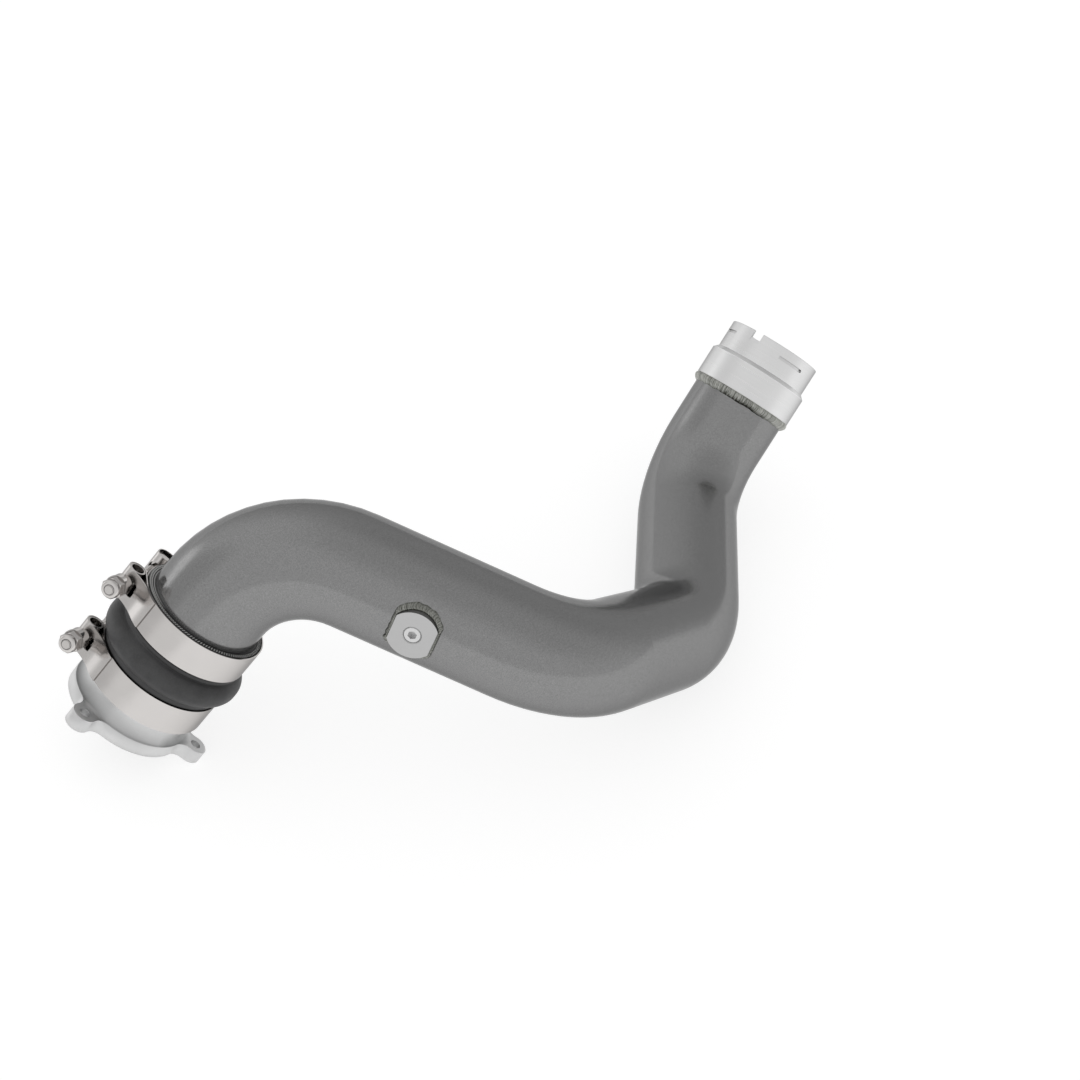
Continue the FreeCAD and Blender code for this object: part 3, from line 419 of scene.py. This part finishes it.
def cast_aluminium():
    """Blasted aluminium, with painted shade low on its flare and painted light on the ear to the left."""
    look = Shading("blasted_aluminium", grey(0.7), 0.42, metallic=1.0)
    place = look.coordinates(FLANGE)
    radius, bearing, height = look.polar(place)
    grain = look.noise(place, 2200, 3, 0.6)
    broad = look.noise(place, 45, 4)
    metal = look.blend(look.ranged(broad, 0, 1, *BROAD_SPAN), grey(0.66), grey(0.73))

    # Painted shade low on the flare, strongest towards two bearings
    low_down = look.ranged(height, 1, 0, FLANGE_THICKNESS, FLARE_SHADE_TOP)
    above_plate = look.math("GREATER_THAN", height, SHADE_AND_LIGHT_FROM)
    inwards = look.ranged(radius, 1, 0, PLATE_RADIUS, FLARE_SHADE_OUTSIDE)
    shaded_flare = look.math("MULTIPLY", above_plate, inwards)
    left, right = [
        look.ranged(look.towards(bearing, middle), 0, 1, least, most)
        for middle, least, most in SHADE_AND_LIGHT_SIDES
    ]
    shade = look.math("MAXIMUM", look.math("MAXIMUM", left, right), FLARE_SHADE_LEAST)
    painted_flare_shade = look.math("MULTIPLY", look.math("MULTIPLY", low_down, shaded_flare), shade)
    metal = look.blend(painted_flare_shade, metal, (0.3, 0.303, 0.303))

    # Painted light on the ears, most on the one to the left
    outwards = look.ranged(radius, 0, 1, PLATE_RADIUS, EAR_LIGHT_FROM)
    lit_ears = look.math("MULTIPLY", look.math("MULTIPLY", above_plate, outwards), left)
    look.colour(look.blend(lit_ears, metal, grey(0.9)))
    look.roughness(look.ranged(grain, 0.42, 0.56, *NOISE_SPAN))
    look.bump(grain, distance=0.00005, strength=0.5)
    return look.material


def bright_steel(name, roughness, corner_shade_reach):
    """Stainless steel with faint smears and a very fine grain, and painted shade in its corners."""
    colour = (0.66, 0.637, 0.622)
    look = Shading(name, colour, roughness, metallic=1.0, rim=METAL_RIM)
    place = look.coordinates()
    grain = look.noise(place, 2200, 3, 0.6)
    smears = look.noise(place, 60, 3)
    dark = tuple(part * 0.94 for part in colour)
    steel = look.blend(look.ranged(smears, 0, 1, *BROAD_SPAN), dark, colour)
    # Painted shade in corners, from how open each place is
    corner_shade = look.ranged(look.crevice(corner_shade_reach), 0.92, 0, 0.2, 0.78)
    look.colour(look.blend(corner_shade, steel, (0.06, 0.056, 0.053)))
    look.roughness(look.ranged(smears, roughness - 0.03, roughness + 0.04, *NOISE_SPAN))
    look.bump(grain, distance=0.000005, strength=0.3)
    return look.material


def bolt_steel(place):
    """Bright steel whose thread shows beyond the plain shank of the bolt."""
    look = Shading("threaded_steel", (0.62, 0.6, 0.585), 0.16, metallic=1.0, rim=METAL_RIM)
    split = look.add("ShaderNodeSeparateXYZ")
    look.link(look.coordinates(place), split.inputs[0])
    run = split.outputs[1]
    thread = look.math("SINE", look.math("MULTIPLY", run, 2 * math.pi / THREAD_PITCH))
    threaded = look.math("GREATER_THAN", run, THREAD_START)
    look.bump(look.math("MULTIPLY", thread, threaded), THREAD_DEPTH)
    grain = look.noise(look.coordinates(), 1500)
    look.roughness(look.ranged(grain, 0.13, 0.2, *NOISE_SPAN))
    look.colour(look.blend(look.ranged(grain, 0, 1), (0.58, 0.56, 0.545), (0.65, 0.628, 0.612)))
    return look.material


def plain_steel():
    """Plated steel with a fine grain."""
    look = Shading("plated_steel", grey(0.66), 0.32, metallic=1.0)
    look.grain(0.26, 0.4, strength=0.4)
    return look.material


def seal_rubber():
    """Black rubber with a fine grain."""
    look = Shading("seal_rubber", grey(0.02), 0.5)
    look.grain(0.45, 0.6, strength=0.5)
    return look.material


def shade_hose(look, rubber, bearing, height):
    """Darken the rubber beside the bands and in the crease at the hump's upper foot."""
    shade = grey(0.006)
    for middle in CLAMP_MIDDLES:
        off_middle = look.math("ABSOLUTE", look.math("SUBTRACT", height, middle))
        off_band = look.math("SUBTRACT", off_middle, BAND_HALF_WIDTH)
        rubber = look.blend(look.ranged(off_band, 0.92, 0, *BAND_SHADE), rubber, shade)
    foot = HUMP_MIDDLE + HUMP_HALF_WIDTH + CREASE_SHADE_ABOVE_FOOT
    off_foot = look.math("ABSOLUTE", look.math("SUBTRACT", height, foot))
    facing = look.ranged(look.towards(bearing, CREASE_SHADE_BEARING), 0, 1, 0.1, 0.9)
    crease = look.math("MULTIPLY", look.ranged(off_foot, 0.9, 0, *CREASE_SHADE), facing)
    return look.blend(crease, rubber, shade)


def fabric_plies(look, radius, bearing, grain):
    """Ends of the fabric at the hose's cut: a rope's strands, and rings where they part."""
    depth = look.math("MULTIPLY", look.math("SUBTRACT", radius, TUBE_RADIUS), 2 * math.pi)
    lean = look.math("DIVIDE", depth, ROPE_LEAN)
    strand = look.math("ADD", look.math("MULTIPLY", bearing, ROPE_STRANDS), lean)
    inside = look.math("GREATER_THAN", radius, FABRIC_INSIDE)
    outside = look.math("LESS_THAN", radius, FABRIC_OUTSIDE)
    rope = look.ranged(look.math("SINE", strand), 0, 1, -0.1, 0.6)
    rope = look.math("MULTIPLY", rope, look.math("MULTIPLY", inside, outside))
    rings = look.ranged(look.math("SINE", look.math("DIVIDE", depth, HOSE_PLY)), 0, 1.3, 0.1, 0.7)
    rings = look.math("MULTIPLY", rings, outside)
    unwound = look.ranged(look.towards(bearing, UNWOUND_BEARING), 0, 1, 0.25, 0.6)
    plies = look.math("ADD", look.math("MULTIPLY", rings, unwound), rope)
    return look.math("MINIMUM", look.math("MULTIPLY", plies, look.ranged(grain, 0.7, 1.3)), 1)


def silicone():
    """Dark silicone rubber with the print of its wrapping, its fabric plies at the cut ends, and painted
    shade beside the bands, in its crease and in the recess at its upper end.
    """
    look = Shading("dark_silicone", (0.04, 0.04, 0.041), 0.5)
    place = look.coordinates(FLANGE)
    radius, bearing, height = look.polar(place)
    grain = look.noise(place, 1100, 4, 0.75)
    broad = look.ranged(look.noise(place, 120, 4, 0.6), 0, 1, *BROAD_SPAN)
    rubber = look.blend(broad, (0.035, 0.035, 0.036), (0.058, 0.058, 0.059))
    rubber = look.blend(look.ranged(grain, 0, 0.5, 0.42, 0.75), rubber, (0.085, 0.085, 0.086))
    rubber = shade_hose(look, rubber, bearing, height)

    around = look.math("MULTIPLY", bearing, HOSE_OUTSIDE)
    wrap, weft = [
        look.math("SINE", look.math("MULTIPLY", look.math(way, around, height), 2 * math.pi / WRAP_PITCH))
        for way in ("ADD", "SUBTRACT")
    ]
    plies = fabric_plies(look, radius, bearing, grain)
    off_middle = look.math("ABSOLUTE", look.math("SUBTRACT", height, (HOSE_LOW + HOSE_HIGH) / 2))
    at_end = look.math("GREATER_THAN", off_middle, (HOSE_HIGH - HOSE_LOW) / 2 - CUT_MARGIN)
    fabric = look.blend(plies, grey(0.012), (0.5, 0.5, 0.49))
    # Painted shade in the recess at the upper cut end
    outermost = look.math("GREATER_THAN", radius, FABRIC_OUTSIDE - RECESS_MARGIN)
    in_recess = look.math("GREATER_THAN", height, HOSE_HIGH - RECESS_SHADE)
    shaded_recess = look.math("MULTIPLY", outermost, in_recess)
    look.colour(look.blend(shaded_recess, look.blend(at_end, rubber, fabric), grey(0.004)))
    look.roughness(look.ranged(grain, 0.46, 0.62, *NOISE_SPAN))
    look.bump(look.math("MULTIPLY", plies, at_end), distance=0.0001, strength=0.7)
    look.bump(look.math("MULTIPLY", wrap, weft), distance=0.00002, strength=0.6)
    look.bump(grain, distance=0.00009, strength=0.7)
    return look.material


def weld_metal():
    """Dull and greenish grey weld metal, darker between its ripples, where there is soot, and where shade
    is painted at the beads' edges.
    """
    look = Shading("weld_bead", (0.36, 0.365, 0.34), 0.38, metallic=1.0)
    grain = look.noise(look.coordinates(), 1400, 4, 0.6)
    puddle = look.add("ShaderNodeAttribute", attribute_name="puddle").outputs["Fac"]
    tint = look.math("ADD", look.math("MULTIPLY", grain, 0.6), look.math("MULTIPLY", puddle, 0.7))
    metal = look.blend(look.ranged(tint, 0, 1, 0.3, 1.05), (0.09, 0.093, 0.08), (0.5, 0.505, 0.475))
    # Soot, and shade painted along the beads' edges
    soot_and_shade = look.add("ShaderNodeAttribute", attribute_name="soot_and_shade").outputs["Fac"]
    look.colour(look.blend(soot_and_shade, metal, (0.07, 0.072, 0.06)))
    look.roughness(look.ranged(grain, 0.3, 0.46, *NOISE_SPAN))
    look.bump(grain, distance=0.00005, strength=0.5)
    return look.material


def dress(material, *names):
    """Give nodes of the CAD a material."""
    for name in names:
        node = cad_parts[name]
        node.data.materials.clear()
        node.data.materials.append(material)


def clamp_nodes(*kinds):
    """Names of some kinds of nodes in both clamps."""
    return [f"{side}_clamp_{kind}" for side in ("upper", "lower") for kind in kinds]


dress(coated_aluminium(), "charge_pipe")
dress(spigot_aluminium(), "quick_connect_end")
blasted = cast_aluminium()
dress(blasted, "flange_adapter")
dress(bung_aluminium(), "sensor_bung")
dress(plain_steel(), "bung_plug")
rubber = silicone()
dress(rubber, "hump_hose")
dress(seal_rubber(), "flange_seal")
dress(bright_steel("bright_band", 0.2, 0.0025), *clamp_nodes("band", "tongue"))
hardware = clamp_nodes("trunnion", "spacer", "washer", "nut")
dress(bright_steel("bright_hardware", 0.1, 0.0042), *hardware)
for side, middle in zip(("upper", "lower"), CLAMP_MIDDLES):
    dress(bolt_steel(clamp_frame(middle)), f"{side}_clamp_bolt")


def uneven(turn, scale, seed):
    """Random height from -1 to 1 that closes on itself round a turn."""
    return noise.noise(round_point(turn, scale, seed))


def ripple(turn, share, count):
    """Height of a weld's ripples from -1 to 1, their crests bowed as each puddle froze."""
    bow = 0.7 * (2 * share - 1) ** 2
    phase = count * turn + bow + 1.2 * uneven(turn, 4, 0.5)
    return 2 * abs(math.sin(math.pi * phase)) ** 0.6 - 1


def end_weld_point(turn, share):
    """Point of the bead between the tube and the spigot, from its toe on the tube upwards."""
    low = -END_WELD_LENGTH - END_WELD_WANDER * uneven(turn, 9, 2.5)
    crown = math.sin(math.pi * share)
    swell = END_WELD_BULGE * (1 + 0.25 * uneven(turn, 6, 7.5)) * crown**0.8
    relief = RIPPLE_RELIEF * ripple(turn, share, END_WELD_RIPPLES) * crown**0.5
    radius = TUBE_RADIUS + (END_WELD_FOOT - TUBE_RADIUS) * share + swell + relief
    return round_point(turn, radius, low * (1 - share))


def end_weld_shade(turn, share):
    """Painted shade of the end bead: a ragged patch on its toe, and a thin line all round."""
    bearing = (360 * turn + 180) % 360 - 180
    nearness = max(0, 1 - abs(bearing - TOE_SHADE_BEARING) / TOE_SHADE_HALF_ANGLE)
    patch = nearness**0.4 * (0.5 + uneven(turn, 26, 3.5))
    ragged = 0.26 + 0.5 * uneven(turn, 95, 5.5)
    line = 0.2 * max(0, 1 - share / 0.12)
    return min(1, max(0, 2.2 * patch * (ragged - share + 0.1) / 0.3)) + line


def bung_weld_point(turn, share):
    """Point of the fillet round the bung, from the bung's side outwards over the tube."""
    across = round_point(turn, 1, 0).xy
    reach = min(BUNG_RADIUS, BUNG_HALF_FLATS / max(abs(across.y), 1e-6))
    foot_height = math.sqrt(TUBE_RADIUS**2 - (reach * across.x) ** 2)
    top = Vector((*(reach * across), foot_height + BUNG_WELD_HEIGHT))
    slope = reach * across.x**2 / foot_height
    beside_flat = min(1, max(0, (abs(across.y) - FLAT_FROM) / FLAT_EASE))
    width = BUNG_WELD_WIDTH * (1 - FLAT_NARROWING * beside_flat)
    width *= (1 + 0.25 * uneven(turn, 6, 1.5)) / math.hypot(1, slope)
    low = (reach + width) * across
    toe = Vector((*low, math.sqrt(TUBE_RADIUS**2 - low.x**2)))
    outward = Vector((toe.x / TUBE_RADIUS, 0, toe.z / TUBE_RADIUS)).lerp(Vector((0, 0, 1)), 0.4)
    relief = RIPPLE_RELIEF * ripple(turn, share, BUNG_WELD_RIPPLES)
    swell = (BUNG_WELD_BULGE + relief) * math.sin(math.pi * share) ** 0.7
    return top.lerp(toe, share) + swell * outward


def bung_weld_soot_and_shade(turn, share):
    """Soot and painted shade of the bung's bead: soot speckled all over, and painted shade along both of
    its edges.
    """
    speckle = 0.42 + 0.5 * uneven(turn, 55, 10 * share)
    # Painted shade along both edges: at the toe, and next to the bung
    toe = max(0, share - 0.8) * 3 * (0.6 + uneven(turn, 12, 4.5))
    return min(1, max(0, speckle + toe + 0.8 * max(0, 1 - share / 0.15)))


def bead_tints(count, soot_and_shade_at):
    """Soot with painted shade, and puddle tints, of a weld bead."""

    def puddle_at(turn, share):
        return 0.5 + 0.35 * ripple(turn, share, count) + 0.9 * uneven(turn, 70, 9.5)

    return {"soot_and_shade": soot_and_shade_at, "puddle": puddle_at}


def add_ring(name, node, place, material, around, across, point_at, tints=None):
    """Closed ring in a frame, in the stead of a plain node, with its tints as attributes."""
    mesh = bmesh.new()
    layers = {tint: mesh.verts.layers.float.new(tint) for tint in tints or {}}
    matrix = frame_matrix(place)
    rows = []
    for first in range(around):
        row = []
        for second in range(across + 1):
            turn, share = first / around, second / across
            vertex = mesh.verts.new(matrix @ point_at(turn, share))
            for tint, layer in layers.items():
                vertex[layer] = tints[tint](turn, share)
            row.append(vertex)
        rows.append(row)
    for first, row in enumerate(rows):
        after = rows[(first + 1) % around]
        for second in range(across + 1):
            third = (second + 1) % (across + 1)
            mesh.faces.new((row[second], after[second], after[third], row[third]))
    bmesh.ops.recalc_face_normals(mesh, faces=mesh.faces)
    for face in mesh.faces:
        face.smooth = True
    data = bpy.data.meshes.new(name)
    mesh.to_mesh(data)
    mesh.free()
    data.set_sharp_from_angle(angle=math.radians(SHARP_ANGLE))
    data.materials.append(material)
    piece = bpy.data.objects.new(name, data)
    bpy.context.scene.collection.objects.link(piece)
    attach(piece, "root")
    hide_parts(node)
    return piece


def hump(height):
    """How far the hose stands out at a height, its hump running out softly at both feet."""
    bulge = HUMP_RISE * (1 - abs((height - HUMP_MIDDLE) / HUMP_HALF_WIDTH) ** HUMP_SHAPE)
    return (bulge + math.hypot(bulge, HUMP_FOOT)) / 2


def hose_section():
    """Closed outline of the hose's wall as radii and heights, from its low end up the outside."""
    heights = [HOSE_LOW + HOSE_ROUNDING + HOSE_STEP * step for step in range(1, HOSE_STEPS + 1)]
    outline = [(HOSE_OUTSIDE - HOSE_ROUNDING, HOSE_LOW), (HOSE_OUTSIDE, HOSE_LOW + HOSE_ROUNDING)]
    outline += [(HOSE_OUTSIDE + hump(height), height) for height in heights]
    outline += [(FABRIC_OUTSIDE, HOSE_HIGH - depth) for depth in (FABRIC_RECESS, HOSE_ROUNDING)]
    cut_edge = FABRIC_OUTSIDE - HOSE_ROUNDING
    for step in range(PLY_STEPS + 1):
        radius = cut_edge - (cut_edge - TUBE_RADIUS) * step / PLY_STEPS
        sunk = PLY_RELIEF * (1 - math.sin(2 * math.pi * (radius - TUBE_RADIUS) / HOSE_PLY))
        outline.append((radius, HOSE_HIGH - (sunk if 0 < step < PLY_STEPS else 0)))
    outline += [(TUBE_RADIUS, (HOSE_LOW + HOSE_HIGH) / 2), (TUBE_RADIUS, HOSE_LOW)]
    return outline


HOSE_SECTION = hose_section()


def hose_point(turn, share):
    """Point of the hose, sunk under the bands, where a tongue bears on it and in its crease."""
    radius, height = HOSE_SECTION[round(share * (len(HOSE_SECTION) - 1))]
    if radius > HOSE_OUTSIDE - HOSE_ROUNDING / 2:
        off_middle = min(abs(height - middle) for middle in CLAMP_MIDDLES)
        off_gap = abs((360 * turn - CLAMP_ANGLE + 180) % 360 - 180)
        off_crease = abs(height - HUMP_MIDDLE - HUMP_HALF_WIDTH - CREASE_ABOVE_FOOT)
        if off_middle < BAND_HALF_WIDTH:
            radius = HOSE_OUTSIDE - BAND_SEAT
        if off_middle < TONGUE_HALF_WIDTH and off_gap < TONGUE_HALF_ANGLE:
            radius = HOSE_OUTSIDE - TONGUE_SEAT
        elif off_middle > BAND_HALF_WIDTH + BAND_CLEAR:
            radius += HOSE_WANDER * uneven(turn, 5, 300 * height)
        if off_crease < CREASE_HALF_WIDTH:
            facing = max(0, math.cos(2 * math.pi * turn - math.radians(CREASE_BEARING)))
            radius -= CREASE_DEPTH * facing**0.5
        if BAND_GAP[0] < off_middle - BAND_HALF_WIDTH < BAND_GAP[1]:
            radius = HOSE_OUTSIDE - BAND_GAP_DEPTH
    return round_point(turn, radius, height)


def arc_points(centre, radius, start, end, count):
    """Points along an arc from one bearing to another, in degrees, without its last."""
    points = []
    for step in range(count):
        angle = math.radians(start + (end - start) * step / count)
        points.append(centre + radius * Vector((math.cos(angle), math.sin(angle))))
    return points


def plate_outline():
    """Outline of the eared plate, anticlockwise, every arc tangent to the next."""
    joint = PLATE_RADIUS + EAR_FILLET
    reach = (EAR_REACH**2 + joint**2 - (EAR_RADIUS + EAR_FILLET) ** 2) / (2 * EAR_REACH * joint)
    spread = math.degrees(math.acos(reach))
    points = []
    for number, angle in enumerate(EAR_ANGLES):
        middle, before, after = [
            round_point(bearing / 360, distance, 0).xy
            for bearing, distance in ((angle, EAR_REACH), (angle - spread, joint), (angle + spread, joint))
        ]
        to_fillet = before - middle
        lean = (angle - math.degrees(math.atan2(to_fillet.y, to_fillet.x))) % 360
        following = EAR_ANGLES[(number + 1) % len(EAR_ANGLES)] - spread
        following += 360 if following < angle else 0
        points += arc_points(before, EAR_FILLET, angle - spread + 180, angle - lean + 180, FILLET_POINTS)
        points += arc_points(middle, EAR_RADIUS, angle - lean, angle + lean, EAR_POINTS)
        points += arc_points(after, EAR_FILLET, angle + lean + 180, angle + spread + 180, FILLET_POINTS)
        points += arc_points(Vector((0, 0)), PLATE_RADIUS, angle + spread, following, PLATE_POINTS)
    return points


OUTLINE = plate_outline()


def edge_at(turn):
    """Point of the plate's outline at a share of its round."""
    return OUTLINE[round(turn * len(OUTLINE)) % len(OUTLINE)]


def flare_shape(turn):
    """How far the flare reaches out from the neck, and the angle at which it meets the plate."""
    edge = edge_at(turn)
    bearing = math.degrees(math.atan2(edge.y, edge.x))
    nearest = min(abs((bearing - angle + 180) % 360 - 180) for angle in EAR_ANGLES)
    ease = max(0, 1 - nearest / FLARE_HALF_ANGLE)
    ease = ease * ease * (3 - 2 * ease)
    narrow = PLATE_RADIUS - FLANGE_EDGE - TUBE_RADIUS
    width = min(edge.length - FLANGE_EDGE - TUBE_RADIUS, narrow + (FLARE_LIMIT - narrow) * ease)
    return width, math.radians(FLARE_CUT) * (1 - ease)


def flange_rows():
    """Rows of the adapter's wall, from the bore outwards: what each follows, and two measures."""
    inner, outer, depth = SEAL_GROOVE
    rows = [(FLANGE_BORE, 0), (inner, 0), (inner, depth), (outer, depth), (outer, 0)]
    rows = [("round", radius, height) for radius, height in rows]
    rows += [("edge", -FLANGE_EDGE, 0), ("edge", 0, FLANGE_EDGE)]
    rows += [("edge", 0, FLANGE_THICKNESS - FLANGE_EDGE), ("edge", -FLANGE_EDGE, FLANGE_THICKNESS)]
    rows += [("ear", step / EAR_STEPS, 0) for step in range(1, EAR_STEPS)]
    rows += [("flare", step / FLARE_STEPS, 0) for step in range(FLARE_STEPS + 1)]
    rows += [("round", TUBE_RADIUS, height) for height in (NECK_MIDDLE, FLANGE_TOP - NECK_EDGE)]
    rows += [("round", TUBE_RADIUS - NECK_EDGE, FLANGE_TOP), ("round", FLANGE_BORE, FLANGE_TOP)]
    return rows


FLANGE_ROWS = flange_rows()


def flange_point(turn, share):
    """Point of the adapter, its flare sweeping down the neck into the plate and the ears."""
    kind, first, second = FLANGE_ROWS[round(share * (len(FLANGE_ROWS) - 1))]
    edge = edge_at(turn)
    reach = edge.length
    width, cut = flare_shape(turn)
    if kind == "round":
        radius, height = first, second
    elif kind == "edge":
        radius, height = reach + first, second
    elif kind == "ear":
        radius = reach - FLANGE_EDGE + (TUBE_RADIUS + width - reach + FLANGE_EDGE) * first
        height = FLANGE_THICKNESS
    else:
        angle = cut + (math.pi / 2 - cut) * first
        radius = TUBE_RADIUS + width * (1 - math.sin(angle)) / (1 - math.sin(cut))
        height = FLANGE_THICKNESS + FLARE_RISE * (1 - math.cos(angle) / math.cos(cut))
    return Vector((*(edge * (radius / reach)), height))


def drill_ears(piece):
    """Cut the bolt holes through the ears."""
    cutters = []
    for angle in EAR_ANGLES:
        mesh = bmesh.new()
        bmesh.ops.create_cone(
            mesh,
            cap_ends=True,
            segments=DRILL_SEGMENTS,
            radius1=EAR_HOLE,
            radius2=EAR_HOLE,
            depth=3 * FLANGE_THICKNESS,
        )
        data = bpy.data.meshes.new("ear_drill")
        mesh.to_mesh(data)
        mesh.free()
        cutter = bpy.data.objects.new("ear_drill", data)
        turn = Matrix.Rotation(math.radians(angle), 4, "Z")
        cutter.matrix_world = frame_matrix(FLANGE) @ turn @ Matrix.Translation((EAR_REACH, 0, 0))
        bpy.context.scene.collection.objects.link(cutter)
        cutters.append(cutter)
        hole = piece.modifiers.new("ear_hole", "BOOLEAN")
        hole.object = cutter
        hole.solver = "EXACT"
    bpy.context.view_layer.update()
    evaluated = piece.evaluated_get(bpy.context.evaluated_depsgraph_get())
    drilled = bpy.data.meshes.new_from_object(evaluated)
    piece.modifiers.clear()
    piece.data = drilled
    for cutter in cutters:
        bpy.data.objects.remove(cutter)


bead_material = weld_metal()
add_ring(
    "end_weld_bead",
    "end_weld",
    SPIGOT,
    bead_material,
    END_WELD_AROUND,
    END_WELD_ACROSS,
    end_weld_point,
    bead_tints(END_WELD_RIPPLES, end_weld_shade),
)
add_ring(
    "bung_weld_bead",
    "bung_weld",
    BUNG,
    bead_material,
    BUNG_WELD_AROUND,
    BUNG_WELD_ACROSS,
    bung_weld_point,
    bead_tints(BUNG_WELD_RIPPLES, bung_weld_soot_and_shade),
)
add_ring("moulded_hose", "hump_hose", FLANGE, rubber, HOSE_AROUND, len(HOSE_SECTION) - 1, hose_point)
casting = add_ring(
    "cast_flange", "flange_adapter", FLANGE, blasted, len(OUTLINE), len(FLANGE_ROWS) - 1, flange_point
)
drill_ears(casting)


def add_camera():
    """Camera that sees the part as the photo does."""
    data = bpy.data.cameras.new("camera")
    data.lens = CAMERA_LENS
    data.sensor_width = CAMERA_SENSOR
    data.clip_start, data.clip_end = CAMERA_CLIP
    camera = bpy.data.objects.new("camera", data)
    camera.matrix_world = Matrix.Translation(CAMERA_PLACE) @ Matrix(CAMERA_AXES).to_4x4()
    bpy.context.scene.collection.objects.link(camera)
    bpy.context.scene.camera = camera


def add_world():
    """A pale room with softly dimmer and brighter patches, which the metals show."""
    world = bpy.data.worlds.new("studio")
    bpy.context.scene.world = world
    world.use_nodes = True
    tree = world.node_tree
    tree.nodes.clear()
    output = tree.nodes.new("ShaderNodeOutputWorld")
    room = tree.nodes.new("ShaderNodeBackground")
    place = tree.nodes.new("ShaderNodeTexCoord")
    level = None
    for towards, span in ROOM_TONES:
        facing = tree.nodes.new("ShaderNodeVectorMath")
        facing.operation = "DOT_PRODUCT"
        facing.inputs[1].default_value = Vector(towards).normalized()
        tree.links.new(place.outputs["Generated"], facing.inputs[0])
        ramp = tree.nodes.new("ShaderNodeMapRange")
        ramp.interpolation_type = "SMOOTHSTEP"
        for socket, number in zip(("From Min", "From Max", "To Min", "To Max"), span):
            ramp.inputs[socket].default_value = number
        tree.links.new(facing.outputs["Value"], ramp.inputs["Value"])
        product = tree.nodes.new("ShaderNodeMath")
        product.operation = "MULTIPLY"
        tree.links.new(ramp.outputs["Result"], product.inputs[0])
        if level is None:
            product.inputs[1].default_value = ROOM_LEVEL
        else:
            tree.links.new(level, product.inputs[1])
        level = product.outputs[0]
    tree.links.new(level, room.inputs["Strength"])
    tree.links.new(room.outputs[0], output.inputs[0])


def add_floor():
    """White floor that keeps the shadow of what stands on it."""
    mesh = bpy.data.meshes.new("floor")
    half = FLOOR_HALF_WIDTH
    corners = [(-half, -half, 0), (half, -half, 0), (half, half, 0), (-half, half, 0)]
    mesh.from_pydata(corners, [], [(0, 1, 2, 3)])
    floor = bpy.data.objects.new("floor", mesh)
    bpy.context.scene.collection.objects.link(floor)
    look = Shading("white_floor", grey(FLOOR_COLOUR), 0.9)
    look.shader.inputs["Specular IOR Level"].default_value = 0
    shadowed = look.add("ShaderNodeBsdfDiffuse")
    shadowed.inputs["Color"].default_value = (*grey(FLOOR_SHADOW_COLOUR), 1)
    glow = look.add("ShaderNodeEmission")
    glow.inputs["Strength"].default_value = FLOOR_GLOW
    seen = look.add("ShaderNodeAddShader")
    look.link(shadowed.outputs[0], seen.inputs[0])
    look.link(glow.outputs[0], seen.inputs[1])
    path = look.add("ShaderNodeLightPath")
    direct = look.math("MAXIMUM", path.outputs["Is Camera Ray"], path.outputs["Is Glossy Ray"])
    direct = look.math("MAXIMUM", direct, path.outputs["Is Transmission Ray"])
    mix = look.add("ShaderNodeMixShader")
    look.link(direct, mix.inputs[0])
    look.link(look.shader.outputs[0], mix.inputs[1])
    look.link(seen.outputs[0], mix.inputs[2])
    output = next(node for node in look.tree.nodes if node.type == "OUTPUT_MATERIAL")
    look.link(mix.outputs[0], output.inputs["Surface"])
    mesh.materials.append(look.material)


add_camera()
add_world()
add_floor()

bpy.context.scene.view_settings.view_transform = "Standard"
